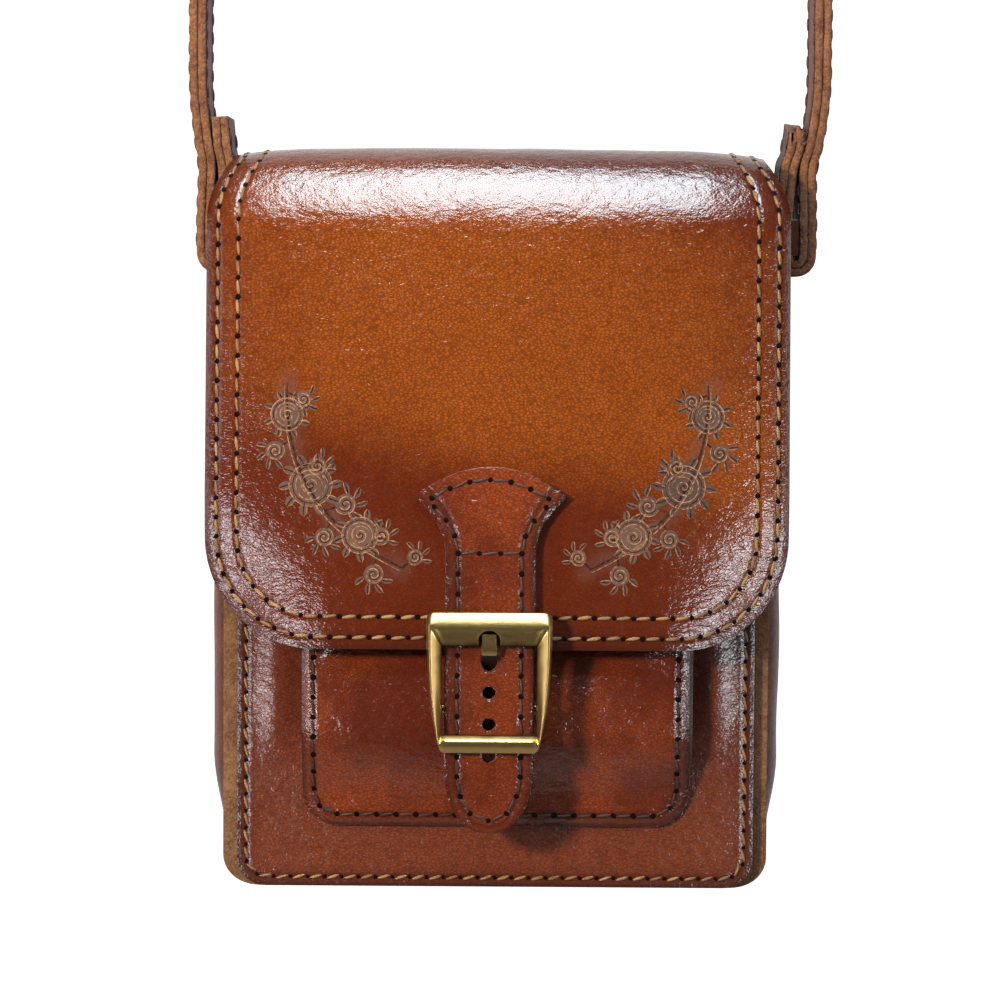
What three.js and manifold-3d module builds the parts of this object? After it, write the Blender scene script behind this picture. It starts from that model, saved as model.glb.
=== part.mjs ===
// A small hand-sewn leather shoulder bag with a full front flap, a raised front pocket and a
// brass buckle. Lengths are in millimetres.
//
// The pieces are laid out in bag coordinates: x to the right as seen from the front, y from the
// front (negative) to the back, z up from the bottom seam. The finished group is lowered so that
// its origin is the point under the top of the shoulder strap where the bag hangs.

import * as THREE from 'three';
import { mergeVertices } from 'three/addons/utils/BufferGeometryUtils.js';
import Module from 'manifold-3d';

const wasm = await Module();
wasm.setup();

// Driving sizes of the bag's body
const gap = 0.3;
const bagHeight = 204;
const gussetDepth = 48.8;
const panelWidth = 142.6;
const panelTop = bagHeight - 16;
const panelCornerRadius = 8;
const panelCrown = 1.2;
const panelWall = 2.8;
const seamSetback = 0.8;

// The strip that makes the sides and the bottom, with its two turned-out seam edges
const gussetWall = 2.2;
const gussetTop = bagHeight - 14;
const gussetSeamShow = 4;
const gussetBendRadius = 1.8;
const gussetWebInset = 4.4;
const gussetSideBulge = 7;
const gussetLowBulge = 3.4;
const gussetLowEnd = 36;
const gussetPullStart = 120;
const gussetPullEnd = 176;
const gussetBaseBulge = -1.2;
const gussetBaseShow = 0.5;
const gussetSquareness = 4;

// The back panel and the flap, cut from one hide
const flapWall = 3.2;
const flapWidth = 159;
const flapEdgeHeight = 68.3;
const flapCornerRadius = 30;
const flapTopWidth = 146.4;
const bendSpreadStart = 0.1;
const bendSpreadRange = 0.75;
const backTopRadius = 12;
const frontTopRadius = 25;
const flapTopStandoff = 35.4;
const topDroop = 4;
const flapDroop = 3;
const droopSharpness = 10;
const backSpreadStart = 154;
const backSpreadEnd = 184;
const flapOverPocket = 0.5;

// The pocket on the front panel
const pocketWidth = 106;
const pocketWall = 2.4;
const pocketBottom = 18.1;
const pocketTop = 89;
const pocketCornerRadius = 9.5;
const pocketStandoff = 11.5;
const pocketCrown = 0.8;
const pocketRiseStart = 22;
const pocketRiseEnd = 47;
const pocketGussetWall = 1.4;
const pocketGussetInset = 5.5;
const pocketGussetRoom = 0.8;
const pocketGussetBend = 1.2;
const pocketGussetFoot = 7;
const pocketSides = [
  { name: 'pocket_gusset_left', side: -1, show: -0.4 },
  { name: 'pocket_gusset_right', side: 1, show: 0.9 },
];

// The two-layer fastening strap with its fan-shaped upper end
const fastenerShift = -1.8;
const fastenerWall = 4.4;
const fastenerWidth = 24;
const fanWidth = 40.8;
const fanTop = 117.9;
const fanTip = 110;
const fanWaist = 94.7;
const fastenerTip = 18.6;
const fastenerTipLength = 17;
const fastenerTipFullness = 0.85;
const fastenerTipReturn = 2.5;
const flapStepOff = 4;
const freeBelowBar = 8;
const holeRadius = 1.75;
const holePitch = 8.6;
const usedHole = 65.8;

// The brass buckle
const buckleTop = 79;
const topBarHeight = 9;
const bottomBarHeight = 4.8;
const buckleHeight = 37.8;
const buckleTopWidth = 34;
const buckleBottomWidth = 27.8;
const buckleWall = 3.8;
const buckleBevel = 0.7;
const buckleCorner = 2.2;
const windowClearance = 0.8;
const heelBarHeight = 52;
const heelBarRadius = 1.3;
const lugWall = 1.3;
const lugMargin = 1;
const prongWidth = 4.2;
const prongThickness = 2.2;
const prongRingWall = 1.2;
const prongTip = 73.2;
const prongBendHeight = 7;
const prongHoleEntry = 2.9;
const prongHoleExit = 1.8;
const notchWidth = 5.4;
const notchTop = 74.3;
const notchDrop = 4;
const anchorWall = 1.4;
const anchorWidth = 20;
const anchorEnd = 29;
const anchorNeck = 5;
const anchorFoot = 12;
const anchorSlack = 1;

// The shoulder strap, its folded ends and the leather bridges that hold them
const strapWidth = 26;
const strapWall = 4.6;
const bridgeWall = 1.4;
const bridgeBottom = 175.6;
const bridgeHeight = 10;
const bridgeFoot = 4.2;
const bridgeFootBend = 2;
const bridgeClearance = 0.7;
const strapBendStep = 2;
const strapEnd = 213;
const strapJoin = 201;
const strapFree = 222;
const strapDrop = 345;
const strapShoulderReach = 150;
const strapCrownReach = 66;
const strapSides = [
  { name: 'strap_bridge_left', side: -1, topBulge: 0, lean: 2.6, flare: 1.2 },
  { name: 'strap_bridge_right', side: 1, topBulge: 4.2, lean: 3.8, flare: 1.5 },
];

// Small helpers for numbers
const degrees = Math.PI / 180;

function mix(a, b, t) {
  return a + (b - a) * t;
}

function smooth(t) {
  const k = Math.min(1, Math.max(0, t));
  return k * k * (3 - 2 * k);
}

function spread(from, to, steps) {
  return Array.from({ length: steps + 1 }, (_, i) => mix(from, to, i / steps));
}

// Closed solids

// Turns points and triangles into a geometry whose faces point outwards.
function closedGeometry(points, triangles) {
  let volume = 0;
  for (const [a, b, c] of triangles) {
    const [p, q, r] = [points[a], points[b], points[c]];
    volume += p.dot(q.clone().cross(r));
  }
  const index = triangles.flatMap(([a, b, c]) => (volume > 0 ? [a, b, c] : [a, c, b]));
  const geometry = new THREE.BufferGeometry();
  geometry.setAttribute('position', new THREE.Float32BufferAttribute(points.flatMap((p) => p.toArray()), 3));
  geometry.setIndex(index);
  return geometry;
}

// A sheet of leather: two faces of rows by columns of points, joined round their rim.
function sheet(outerRows, innerRows) {
  const rows = outerRows.length;
  const columns = outerRows[0].length;
  const points = [...outerRows.flat(), ...innerRows.flat()];
  const triangles = [];
  const outer = (i, j) => i * columns + j;
  const inner = (i, j) => rows * columns + i * columns + j;
  const quad = (a, b, c, d) => triangles.push([a, b, c], [a, c, d]);
  for (let i = 0; i + 1 < rows; i += 1) {
    for (let j = 0; j + 1 < columns; j += 1) {
      quad(outer(i, j), outer(i, j + 1), outer(i + 1, j + 1), outer(i + 1, j));
      quad(inner(i, j), inner(i + 1, j), inner(i + 1, j + 1), inner(i, j + 1));
    }
  }
  const last = columns - 1;
  for (let i = 0; i + 1 < rows; i += 1) {
    quad(outer(i, 0), outer(i + 1, 0), inner(i + 1, 0), inner(i, 0));
    quad(outer(i + 1, last), outer(i, last), inner(i, last), inner(i + 1, last));
  }
  const end = rows - 1;
  for (let j = 0; j < last; j += 1) {
    quad(outer(0, j + 1), outer(0, j), inner(0, j), inner(0, j + 1));
    quad(outer(end, j), outer(end, j + 1), inner(end, j + 1), inner(end, j));
  }
  return closedGeometry(points, triangles);
}

// The two faces of a line of [a, b] points that is given a thickness, with mitred bends.
function thicken(line, thickness) {
  const direction = (p, q) => {
    const length = Math.hypot(q[0] - p[0], q[1] - p[1]);
    return [(q[0] - p[0]) / length, (q[1] - p[1]) / length];
  };
  const faces = [[], []];
  line.forEach((point, i) => {
    const before = direction(line[Math.max(0, i - 1)], line[Math.max(1, i)]);
    const after = direction(line[Math.min(line.length - 2, i)], line[Math.min(line.length - 1, i + 1)]);
    const sum = [before[0] + after[0], before[1] + after[1]];
    const scale = thickness / (sum[0] * before[0] + sum[1] * before[1]);
    faces[0].push([point[0] - sum[1] * scale, point[1] + sum[0] * scale]);
    faces[1].push([point[0] + sum[1] * scale, point[1] - sum[0] * scale]);
  });
  return faces.map((face) => face.map(([a, b], i) => [mix(line[i][0], a, 0.5), mix(line[i][1], b, 0.5)]));
}

// A strip of leather that keeps one profile from one side to the other.
function ribbon(line, thickness, from, to, place) {
  const [outer, inner] = thicken(line, thickness);
  const rows = (face) => [from, to].map((across) => face.map(([a, b]) => place(a, b, across)));
  return sheet(rows(outer), rows(inner));
}

function toSolid(geometry) {
  const bare = geometry.clone();
  bare.deleteAttribute('normal');
  bare.deleteAttribute('uv');
  const merged = mergeVertices(bare, 1e-4);
  return new wasm.Manifold(new wasm.Mesh({
    numProp: 3,
    vertProperties: new Float32Array(merged.getAttribute('position').array),
    triVerts: new Uint32Array(merged.getIndex().array),
  }));
}

function toGeometry(solid) {
  const mesh = solid.getMesh();
  const geometry = new THREE.BufferGeometry();
  geometry.setAttribute('position', new THREE.BufferAttribute(mesh.vertProperties, 3));
  geometry.setIndex(new THREE.BufferAttribute(mesh.triVerts, 1));
  return geometry;
}

function block(x, y, z) {
  const geometry = new THREE.BoxGeometry(x[1] - x[0], y[1] - y[0], z[1] - z[0]);
  geometry.translate((x[0] + x[1]) / 2, (y[0] + y[1]) / 2, (z[0] + z[1]) / 2);
  return geometry;
}

function rodAlongX(radius, length, y, z, sides = 16) {
  const geometry = new THREE.CylinderGeometry(radius, radius, length, sides);
  geometry.rotateZ(Math.PI / 2);
  geometry.translate(fastenerShift, y, z);
  return geometry;
}

// Rows of a panel with round lower corners, from its bottom edge up.
function cornerRows(bottom, top, halfWidth, radius, steps, cornerSteps = 5) {
  const rows = spread(0, 90 * degrees, cornerSteps).map((angle) => ({
    z: bottom + radius * (1 - Math.cos(angle)),
    half: halfWidth - radius * (1 - Math.sin(angle)),
  }));
  spread(bottom + radius, top, steps).slice(1).forEach((z) => rows.push({ z, half: halfWidth }));
  return rows;
}

const acrossShares = [-1, -0.96, -0.88, -0.72, -0.5, -0.25, 0, 0.25, 0.5, 0.72, 0.88, 0.96, 1];

// Front panel

const flangeFace = gussetDepth / 2;
const panelInside = flangeFace + gap;
const panelFace = panelInside + panelWall;
const panelHalf = panelWidth / 2;
const panelMiddle = (seamSetback + panelTop) / 2;

// How far the panel's outer face stands in front of the middle of the bag.
function panelFront(x, z) {
  const across = Math.min(1, Math.abs(x / panelHalf));
  const up = Math.min(1, Math.abs((z - panelMiddle) / (panelTop - panelMiddle)));
  return panelFace + panelCrown * (1 - across ** 2) * (1 - up ** 4);
}

function frontPanel() {
  const rows = cornerRows(seamSetback, panelTop, panelHalf, panelCornerRadius, 9);
  const face = (inward) => rows.map(({ z, half }) => acrossShares.map((share) => {
    const x = share * half;
    return new THREE.Vector3(x, -panelFront(x, z) + inward, z);
  }));
  return sheet(face(0), face(panelWall));
}

// Gusset

// Stations along the edge of the front panel: a point, the way out from it, and how far the strip
// bulges and its seam edge shows there.
function gussetStations() {
  const stations = [];
  const corner = panelCornerRadius;
  const cornerHeight = seamSetback + corner;
  const topBulge = (side) => strapSides.find((one) => one.side === side).topBulge;
  const bulgeAt = (side, z) => {
    const full = mix(gussetLowBulge, gussetSideBulge, smooth((z - cornerHeight) / (gussetLowEnd - cornerHeight)));
    const pull = smooth((z - gussetPullStart) / (gussetPullEnd - gussetPullStart));
    return mix(full, topBulge(side), pull);
  };
  const sideStep = (side, z) => ({
    x: side * panelHalf, z, out: [side, 0], bulge: bulgeAt(side, z), show: gussetSeamShow,
  });
  const cornerStep = (side, angle) => ({
    x: side * (panelHalf - corner + corner * Math.cos(angle)),
    z: cornerHeight - corner * Math.sin(angle),
    out: [side * Math.cos(angle), -Math.sin(angle)],
    bulge: mix(gussetLowBulge, gussetBaseBulge, smooth(angle / (90 * degrees))),
    show: mix(gussetSeamShow, gussetBaseShow, smooth(angle / (90 * degrees))),
  });
  const sideHeights = [...spread(gussetTop, gussetLowEnd, 8), ...spread(gussetLowEnd, cornerHeight, 3).slice(1)];
  sideHeights.forEach((z) => stations.push(sideStep(-1, z)));
  spread(0, 90 * degrees, 6).slice(1).forEach((angle) => stations.push(cornerStep(-1, angle)));
  spread(corner - panelHalf, panelHalf - corner, 7).slice(1, -1).forEach((x) => stations.push({
    x, z: seamSetback, out: [0, -1], bulge: gussetBaseBulge, show: gussetBaseShow,
  }));
  spread(90 * degrees, 0, 6).slice(0, -1).forEach((angle) => stations.push(cornerStep(1, angle)));
  sideHeights.reverse().forEach((z) => stations.push(sideStep(1, z)));
  return stations;
}

// Centre line of the strip's section as [out, y]: front seam edge, bend, bulging web and back.
function gussetSection(bulge, show) {
  const seamY = flangeFace - gussetWall / 2;
  const root = -gussetWebInset;
  let webHalf = seamY - gussetBendRadius;
  let heading = 0;
  for (let pass = 0; pass < 6; pass += 1) {
    heading = Math.atan2(webHalf, gussetSquareness * (bulge - root));
    webHalf = seamY - gussetBendRadius * (1 + Math.cos(heading));
  }
  const front = [[show, -seamY]];
  spread(180 * degrees, heading, 4).forEach((angle) => front.push([
    root + gussetBendRadius * (Math.sin(heading) - Math.sin(angle)),
    -webHalf - gussetBendRadius * (Math.cos(heading) - Math.cos(angle)),
  ]));
  const web = [-0.86, -0.7, -0.48, -0.22].map((share) => [
    mix(root, bulge, 1 - Math.abs(share) ** gussetSquareness), share * webHalf,
  ]);
  const half = [...front, ...web];
  const mirrored = half.map(([out, y]) => [out, -y]).reverse();
  return [...half, [bulge, 0], ...mirrored];
}

// The web's outer face near the top, measured out from the panel's edge, at a depth y.
function webOutside(topBulge, y) {
  const [faceA, faceB] = thicken(gussetSection(topBulge, gussetSeamShow), gussetWall);
  const middle = (faceA.length - 1) / 2;
  const outside = faceA[middle][0] > faceB[middle][0] ? faceA : faceB;
  for (let i = 5; i + 1 < outside.length - 5; i += 1) {
    const [a, b] = [outside[i], outside[i + 1]];
    if (y >= a[1] && y <= b[1]) {
      return mix(a[0], b[0], (y - a[1]) / (b[1] - a[1]));
    }
  }
  return outside[5][0];
}

function gusset() {
  const stations = gussetStations();
  const faces = stations.map((station) => {
    const sides = thicken(gussetSection(station.bulge, station.show), gussetWall);
    return sides.map((side) => side.map(([out, y]) => new THREE.Vector3(
      station.x + station.out[0] * out, y, station.z + station.out[1] * out,
    )));
  });
  return sheet(faces.map(([a]) => a), faces.map(([, b]) => b));
}

// Back panel and flap

const backFace = flangeFace + gap + flapWall;
const pocketFace = panelFace + pocketStandoff;
const flapOnPocket = pocketFace + flapOverPocket + flapWall;

// The flap hangs from the top bend at the lean that takes it over the pocket's top edge.
function flapLean() {
  let lean = 0;
  for (let pass = 0; pass < 12; pass += 1) {
    const bendDrop = frontTopRadius * (1 - Math.sin(lean));
    const drop = bagHeight - bendDrop - pocketTop;
    lean = Math.atan2(flapOnPocket - flapTopStandoff, drop);
  }
  return lean;
}

const lean = flapLean();
const bendTurn = 90 * degrees - lean;
const flapRunTop = bagHeight - frontTopRadius * (1 - Math.cos(bendTurn));
const topFront = flapTopStandoff - frontTopRadius * Math.sin(bendTurn);

// How far the flap's outer face stands in front of the middle of the bag, on its straight run.
function flapFront(z) {
  return flapTopStandoff + (flapRunTop - z) * Math.tan(lean);
}

// Rows of the hide from the back's bottom edge, over the top, to the flap's lower edge. Each row
// has a place on the profile, the way out from it, a half width, and how far its edges droop.
function hideRows() {
  const rows = [];
  const backHalf = (z) => {
    const t = (z - backSpreadStart) / (backSpreadEnd - backSpreadStart);
    return mix(panelHalf, flapTopWidth / 2, smooth(t));
  };
  cornerRows(seamSetback, bagHeight - backTopRadius, panelHalf, panelCornerRadius, 8).forEach(({ z, half }) => {
    const wide = z > seamSetback + panelCornerRadius ? backHalf(z) : half;
    rows.push({ y: backFace, z, out: [1, 0], half: wide, droop: 0 });
  });
  spread(0, 90 * degrees, 5).slice(1).forEach((angle) => rows.push({
    y: backFace - backTopRadius * (1 - Math.cos(angle)),
    z: bagHeight - backTopRadius * (1 - Math.sin(angle)),
    out: [Math.cos(angle), Math.sin(angle)],
    half: flapTopWidth / 2,
    droop: topDroop * smooth(angle / (90 * degrees)),
  }));
  spread(backFace - backTopRadius, -topFront, 2).slice(1).forEach((y) => rows.push({
    y, z: bagHeight, out: [0, 1], half: flapTopWidth / 2, droop: topDroop,
  }));
  spread(0, bendTurn, 8).slice(1).forEach((angle) => rows.push({
    y: -topFront - frontTopRadius * Math.sin(angle),
    z: bagHeight - frontTopRadius * (1 - Math.cos(angle)),
    out: [-Math.sin(angle), Math.cos(angle)],
    half: mix(flapTopWidth, flapWidth, smooth((angle / bendTurn - bendSpreadStart) / bendSpreadRange)) / 2,
    droop: mix(topDroop, flapDroop, smooth(angle / bendTurn)),
  }));
  const frontRow = (z, half) => ({
    y: -flapFront(z), z, out: [-Math.cos(lean), Math.sin(lean)], half, droop: flapDroop,
  });
  spread(flapRunTop, flapEdgeHeight + flapCornerRadius, 6).slice(1).forEach((z) => {
    rows.push(frontRow(z, flapWidth / 2));
  });
  cornerRows(flapEdgeHeight, bagHeight, flapWidth / 2, flapCornerRadius, 1, 7).slice(0, -2).reverse()
    .forEach(({ z, half }) => rows.push(frontRow(z, half)));
  return rows;
}

function backAndFlap() {
  const rows = hideRows();
  const face = (inward) => rows.map((row) => acrossShares.map((share) => {
    const x = share * row.half;
    const sink = inward + row.droop * Math.abs(2 * x / flapWidth) ** droopSharpness;
    return new THREE.Vector3(x, row.y - row.out[0] * sink, row.z - row.out[1] * sink);
  }));
  return sheet(face(0), face(flapWall));
}

// Pocket

const pocketHalf = pocketWidth / 2;

// The pocket's outer face, which lies on the panel at the bottom and stands off it higher up.
function pocketFront(x, z) {
  const lying = panelFront(x, z) + gap + pocketWall;
  const standing = pocketFace - pocketCrown * (x / pocketHalf) ** 2;
  return mix(lying, standing, smooth((z - pocketRiseStart) / (pocketRiseEnd - pocketRiseStart)));
}

function pocketPlate() {
  const rows = cornerRows(pocketBottom, pocketTop, pocketHalf, pocketCornerRadius, 9);
  const face = (inward) => rows.map(({ z, half }) => acrossShares.map((share) => {
    const x = share * half;
    return new THREE.Vector3(x, -pocketFront(x, z) + inward, z);
  }));
  return sheet(face(0), face(pocketWall));
}

// A narrow side strip: its front edge is turned out under the pocket's edge, its back edge is
// turned in on the panel.
function pocketGusset({ side, show }) {
  const seamX = pocketHalf - pocketGussetInset;
  const roomAt = (z) => pocketFront(seamX, z) - pocketWall - panelFront(seamX, z);
  const need = 2 * (gap + pocketGussetWall) + pocketGussetRoom;
  const start = spread(pocketRiseStart, pocketTop, 240).find((z) => roomAt(z) >= need);
  const half = pocketGussetWall / 2;
  const section = (z) => {
    const frontY = (x) => -(pocketFront(x, z) - pocketWall - gap - half);
    const backY = (x) => -(panelFront(x, z) + gap + half);
    const web = (share) => [seamX, mix(frontY(seamX), backY(seamX), share)];
    const foot = seamX - pocketGussetFoot;
    return [
      [pocketHalf + show, frontY(pocketHalf)], [pocketHalf - 1, frontY(pocketHalf)],
      [seamX + pocketGussetBend, frontY(seamX)], web(0.25), web(0.75),
      [seamX - pocketGussetBend, backY(seamX)], [foot, backY(foot)],
    ];
  };
  const faces = spread(start, pocketTop - gap, 9).map((z) => thicken(section(z), pocketGussetWall)
    .map((face) => face.map(([x, y]) => new THREE.Vector3(side * x, y, z))));
  return sheet(faces.map(([a]) => a), faces.map(([, b]) => b));
}

// Places of the buckle's parts, front to back

const heelBarFront = pocketFace + gap + anchorWall + gap + heelBarRadius;
const strapBackAtHeel = heelBarFront + heelBarRadius + gap + anchorWall + gap;
const strapOverFlap = flapEdgeHeight + flapStepOff;

// The fastening strap's back face: on the flap, then straight through the buckle, then free.
function fastenerBack(z) {
  if (z >= strapOverFlap) {
    return flapFront(z) + gap;
  }
  if (z >= heelBarHeight) {
    const edge = flapFront(strapOverFlap) + gap;
    return mix(edge, strapBackAtHeel, (strapOverFlap - z) / (strapOverFlap - heelBarHeight));
  }
  const free = heelBarHeight - freeBelowBar;
  const loose = smooth((free - z) / (free - fastenerTip));
  return strapBackAtHeel - fastenerTipReturn * loose;
}

// Fastening strap

function fanHalf(t) {
  return mix(fanWidth, fastenerWidth, 1 - (1 - t) ** 2) / 2;
}

function fastenerRows() {
  const half = fastenerWidth / 2;
  const rows = [];
  spread(0, 1, 6).forEach((t) => rows.push({
    half: fanHalf(t),
    height: (share) => mix(mix(fanTop, fanTip, share ** 2), fanWaist, t),
  }));
  const straight = (z) => ({ half, height: () => z });
  spread(fanWaist, strapOverFlap, 3).slice(1).forEach((z) => rows.push(straight(z)));
  spread(strapOverFlap, heelBarHeight, 4).slice(1).forEach((z) => rows.push(straight(z)));
  const tipStart = fastenerTip + fastenerTipLength;
  spread(heelBarHeight, tipStart, 3).slice(1).forEach((z) => rows.push(straight(z)));
  spread(0, 80 * degrees, 7).slice(1).forEach((angle) => rows.push({
    half: half * Math.cos(angle) ** fastenerTipFullness,
    height: () => mix(tipStart, fastenerTip, Math.sin(angle)),
  }));
  return rows;
}

function fasteningStrap(prongRoom) {
  const shares = [-1, -0.8, -0.4, 0, 0.4, 0.8, 1];
  const face = (outward) => fastenerRows().map((row) => shares.map((share) => {
    const z = row.height(Math.abs(share));
    return new THREE.Vector3(fastenerShift + share * row.half, -fastenerBack(z) - outward, z);
  }));
  let strap = toSolid(sheet(face(0), face(fastenerWall)));
  [1, 2, 3].forEach((step) => {
    const hole = new THREE.CylinderGeometry(holeRadius, holeRadius, 4 * fastenerWall, 14);
    const z = usedHole - step * holePitch;
    hole.translate(fastenerShift, -fastenerBack(z), z);
    strap = strap.subtract(toSolid(hole));
  });
  return toGeometry(strap.subtract(prongRoom));
}

// Buckle

const topBarMiddle = buckleTop - topBarHeight / 2;
const bottomBarMiddle = buckleTop - buckleHeight + bottomBarHeight / 2;
const frameBackTop = fastenerBack(topBarMiddle) + fastenerWall + gap * 1.6;
const frameBackBottom = fastenerBack(bottomBarMiddle) + fastenerWall + gap * 1.6;
const frameTilt = Math.atan2(frameBackBottom - frameBackTop, topBarMiddle - bottomBarMiddle);

// The frame's back face at a height.
function frameBack(z) {
  return mix(frameBackBottom, frameBackTop, (z - bottomBarMiddle) / (topBarMiddle - bottomBarMiddle));
}

function buckleFrame() {
  const top = buckleTop - heelBarHeight;
  const bottom = top - buckleHeight;
  const windowTop = top - topBarHeight;
  const windowBottom = bottom + bottomBarHeight;
  const windowHalf = fastenerWidth / 2 + windowClearance;
  const topHalf = buckleTopWidth / 2;
  const bottomHalf = buckleBottomWidth / 2;
  const corner = buckleCorner;
  const railPull = mix(windowTop, windowBottom, 0.6);
  const outline = new THREE.Shape();
  outline.moveTo(-topHalf, top - corner);
  outline.quadraticCurveTo(-topHalf, top, corner - topHalf, top);
  outline.lineTo(topHalf - corner, top);
  outline.quadraticCurveTo(topHalf, top, topHalf, top - corner);
  outline.lineTo(topHalf, windowTop);
  outline.quadraticCurveTo(topHalf, railPull, bottomHalf, windowBottom);
  outline.lineTo(bottomHalf, bottom + corner);
  outline.quadraticCurveTo(bottomHalf, bottom, bottomHalf - corner, bottom);
  outline.lineTo(corner - bottomHalf, bottom);
  outline.quadraticCurveTo(-bottomHalf, bottom, -bottomHalf, bottom + corner);
  outline.lineTo(-bottomHalf, windowBottom);
  outline.quadraticCurveTo(-topHalf, railPull, -topHalf, windowTop);
  const plate = new THREE.ExtrudeGeometry(outline, {
    depth: buckleWall - 2 * buckleBevel,
    bevelEnabled: true,
    bevelThickness: buckleBevel,
    bevelSize: buckleBevel,
    bevelOffset: -buckleBevel,
    bevelSegments: 1,
    curveSegments: 5,
  });
  plate.rotateX(Math.PI / 2);
  plate.translate(0, -buckleBevel, 0);
  const opening = block([-windowHalf, windowHalf], [-2 * buckleWall, buckleWall], [windowBottom, windowTop]);
  const place = (geometry) => {
    geometry.rotateX(-frameTilt);
    geometry.translate(fastenerShift, -frameBack(heelBarHeight), heelBarHeight);
    return toSolid(geometry);
  };
  let frame = place(plate).subtract(place(opening));
  // Two lugs reach back beside the strap and carry the heel bar behind it.
  const lugHalf = heelBarRadius + lugMargin;
  const lugRange = [-(frameBack(heelBarHeight) + buckleWall / 2), -(heelBarFront - heelBarRadius)];
  [-1, 1].forEach((side) => {
    const near = fastenerShift + side * windowHalf;
    const far = near + side * lugWall;
    const lug = block(
      [Math.min(near, far), Math.max(near, far)], lugRange, [heelBarHeight - lugHalf, heelBarHeight + lugHalf],
    );
    frame = frame.add(toSolid(lug));
  });
  frame = frame.add(toSolid(rodAlongX(heelBarRadius, 2 * windowHalf + lugWall, -heelBarFront, heelBarHeight)));
  const notchFloor = frameBack(topBarMiddle) + buckleWall - prongThickness - gap;
  const notch = block(
    [fastenerShift - notchWidth / 2, fastenerShift + notchWidth / 2],
    [-(notchFloor + 3 * buckleWall), -notchFloor],
    [buckleTop - topBarHeight - notchDrop, notchTop],
  );
  return toGeometry(frame.subtract(toSolid(notch)));
}

// The prong rises from its ring behind the strap, passes through the used hole and lies in the
// notch of the top bar.
function prongLine() {
  const half = prongThickness / 2;
  const seat = frameBack(topBarMiddle) + buckleWall - half;
  const behind = (z) => fastenerBack(z) - gap - half;
  const through = fastenerBack(usedHole) + fastenerWall / 2;
  const bend = heelBarHeight + prongBendHeight;
  return [
    [-heelBarFront, heelBarHeight + heelBarRadius + gap + prongRingWall / 2],
    [-behind(bend), bend],
    [-mix(behind(bend), through, 0.4), usedHole - prongHoleEntry],
    [-through, usedHole - prongHoleEntry / 5],
    [-mix(through, seat, 0.75), usedHole + prongHoleExit],
    [-seat, mix(usedHole, prongTip, 0.62)],
    [-seat, prongTip],
  ];
}

function prong() {
  const half = prongWidth / 2;
  const place = (y, z, x) => new THREE.Vector3(fastenerShift + x, y, z);
  const arm = toSolid(ribbon(prongLine(), prongThickness, -half, half, place));
  const ringInside = heelBarRadius + gap;
  const ring = toSolid(rodAlongX(ringInside + prongRingWall, prongWidth, -heelBarFront, heelBarHeight));
  const bore = toSolid(rodAlongX(ringInside, 2 * prongWidth, -heelBarFront, heelBarHeight));
  return toGeometry(arm.add(ring).subtract(bore));
}

function prongRoom() {
  const half = prongWidth / 2 + gap;
  const place = (y, z, x) => new THREE.Vector3(fastenerShift + x, y, z);
  return toSolid(ribbon(prongLine(), prongThickness + 2 * gap, -half, half, place));
}

// A leather tab folded round the heel bar and sewn to the pocket behind the strap's end.
function buckleAnchor() {
  const half = anchorWall / 2;
  const loop = heelBarRadius + gap + half;
  const onPocket = (z) => -(pocketFront(fastenerShift, z) + gap + half);
  const line = spread(anchorEnd, heelBarHeight - anchorNeck, 4).map((z) => [onPocket(z), z]);
  spread(0, 180 * degrees, 8).forEach((angle) => line.push([
    -heelBarFront + loop * Math.cos(angle), heelBarHeight + loop * Math.sin(angle),
  ]));
  spread(heelBarHeight - anchorNeck, anchorEnd, 4).forEach((z) => line.push([
    onPocket(z) - anchorWall - gap / 2 - (z > anchorEnd + anchorFoot ? anchorSlack : 0), z,
  ]));
  const place = (y, z, x) => new THREE.Vector3(fastenerShift + x, y, z);
  const tab = toSolid(ribbon(line, anchorWall, -anchorWidth / 2, anchorWidth / 2, place));
  const slot = block(
    [fastenerShift - prongWidth / 2 - gap, fastenerShift + prongWidth / 2 + gap],
    [-(heelBarFront + 3 * loop), -(heelBarFront - 3 * loop)],
    [heelBarHeight - loop - anchorWall, heelBarHeight + 3 * loop],
  );
  return toGeometry(tab.subtract(toSolid(slot)));
}

// Shoulder strap and its bridges

// How far out the runs of one strap end lie: the folded-back run on the gusset, the bridge over
// it, and the long run outside both.
function strapPlaces({ topBulge }) {
  const inner = panelHalf + webOutside(topBulge, 0) + gap + strapWall / 2;
  const bridge = inner + strapWall / 2 + gap + bridgeWall / 2;
  const outer = bridge + bridgeWall / 2 + gap + strapWall / 2;
  return { inner, bridge, outer };
}

function strapBridge(end) {
  const inside = strapWidth / 2 + bridgeClearance;
  const half = bridgeWall / 2;
  const { bridge } = strapPlaces(end);
  const onWeb = (y) => panelHalf + webOutside(end.topBulge, y) + gap + half;
  const footBend = inside + bridgeFootBend;
  const foot = [
    [onWeb(inside + bridgeFoot), inside + bridgeFoot], [onWeb(footBend) + gap, footBend],
    [bridge - half - 0.5, inside + half], [bridge, inside - half],
  ];
  const line = [...foot, ...foot.map(([x, y]) => [x, -y]).reverse()];
  const place = (x, y, z) => new THREE.Vector3(end.side * x, y, z);
  return ribbon(line, bridgeWall, bridgeBottom, bridgeBottom + bridgeHeight, place);
}

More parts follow.
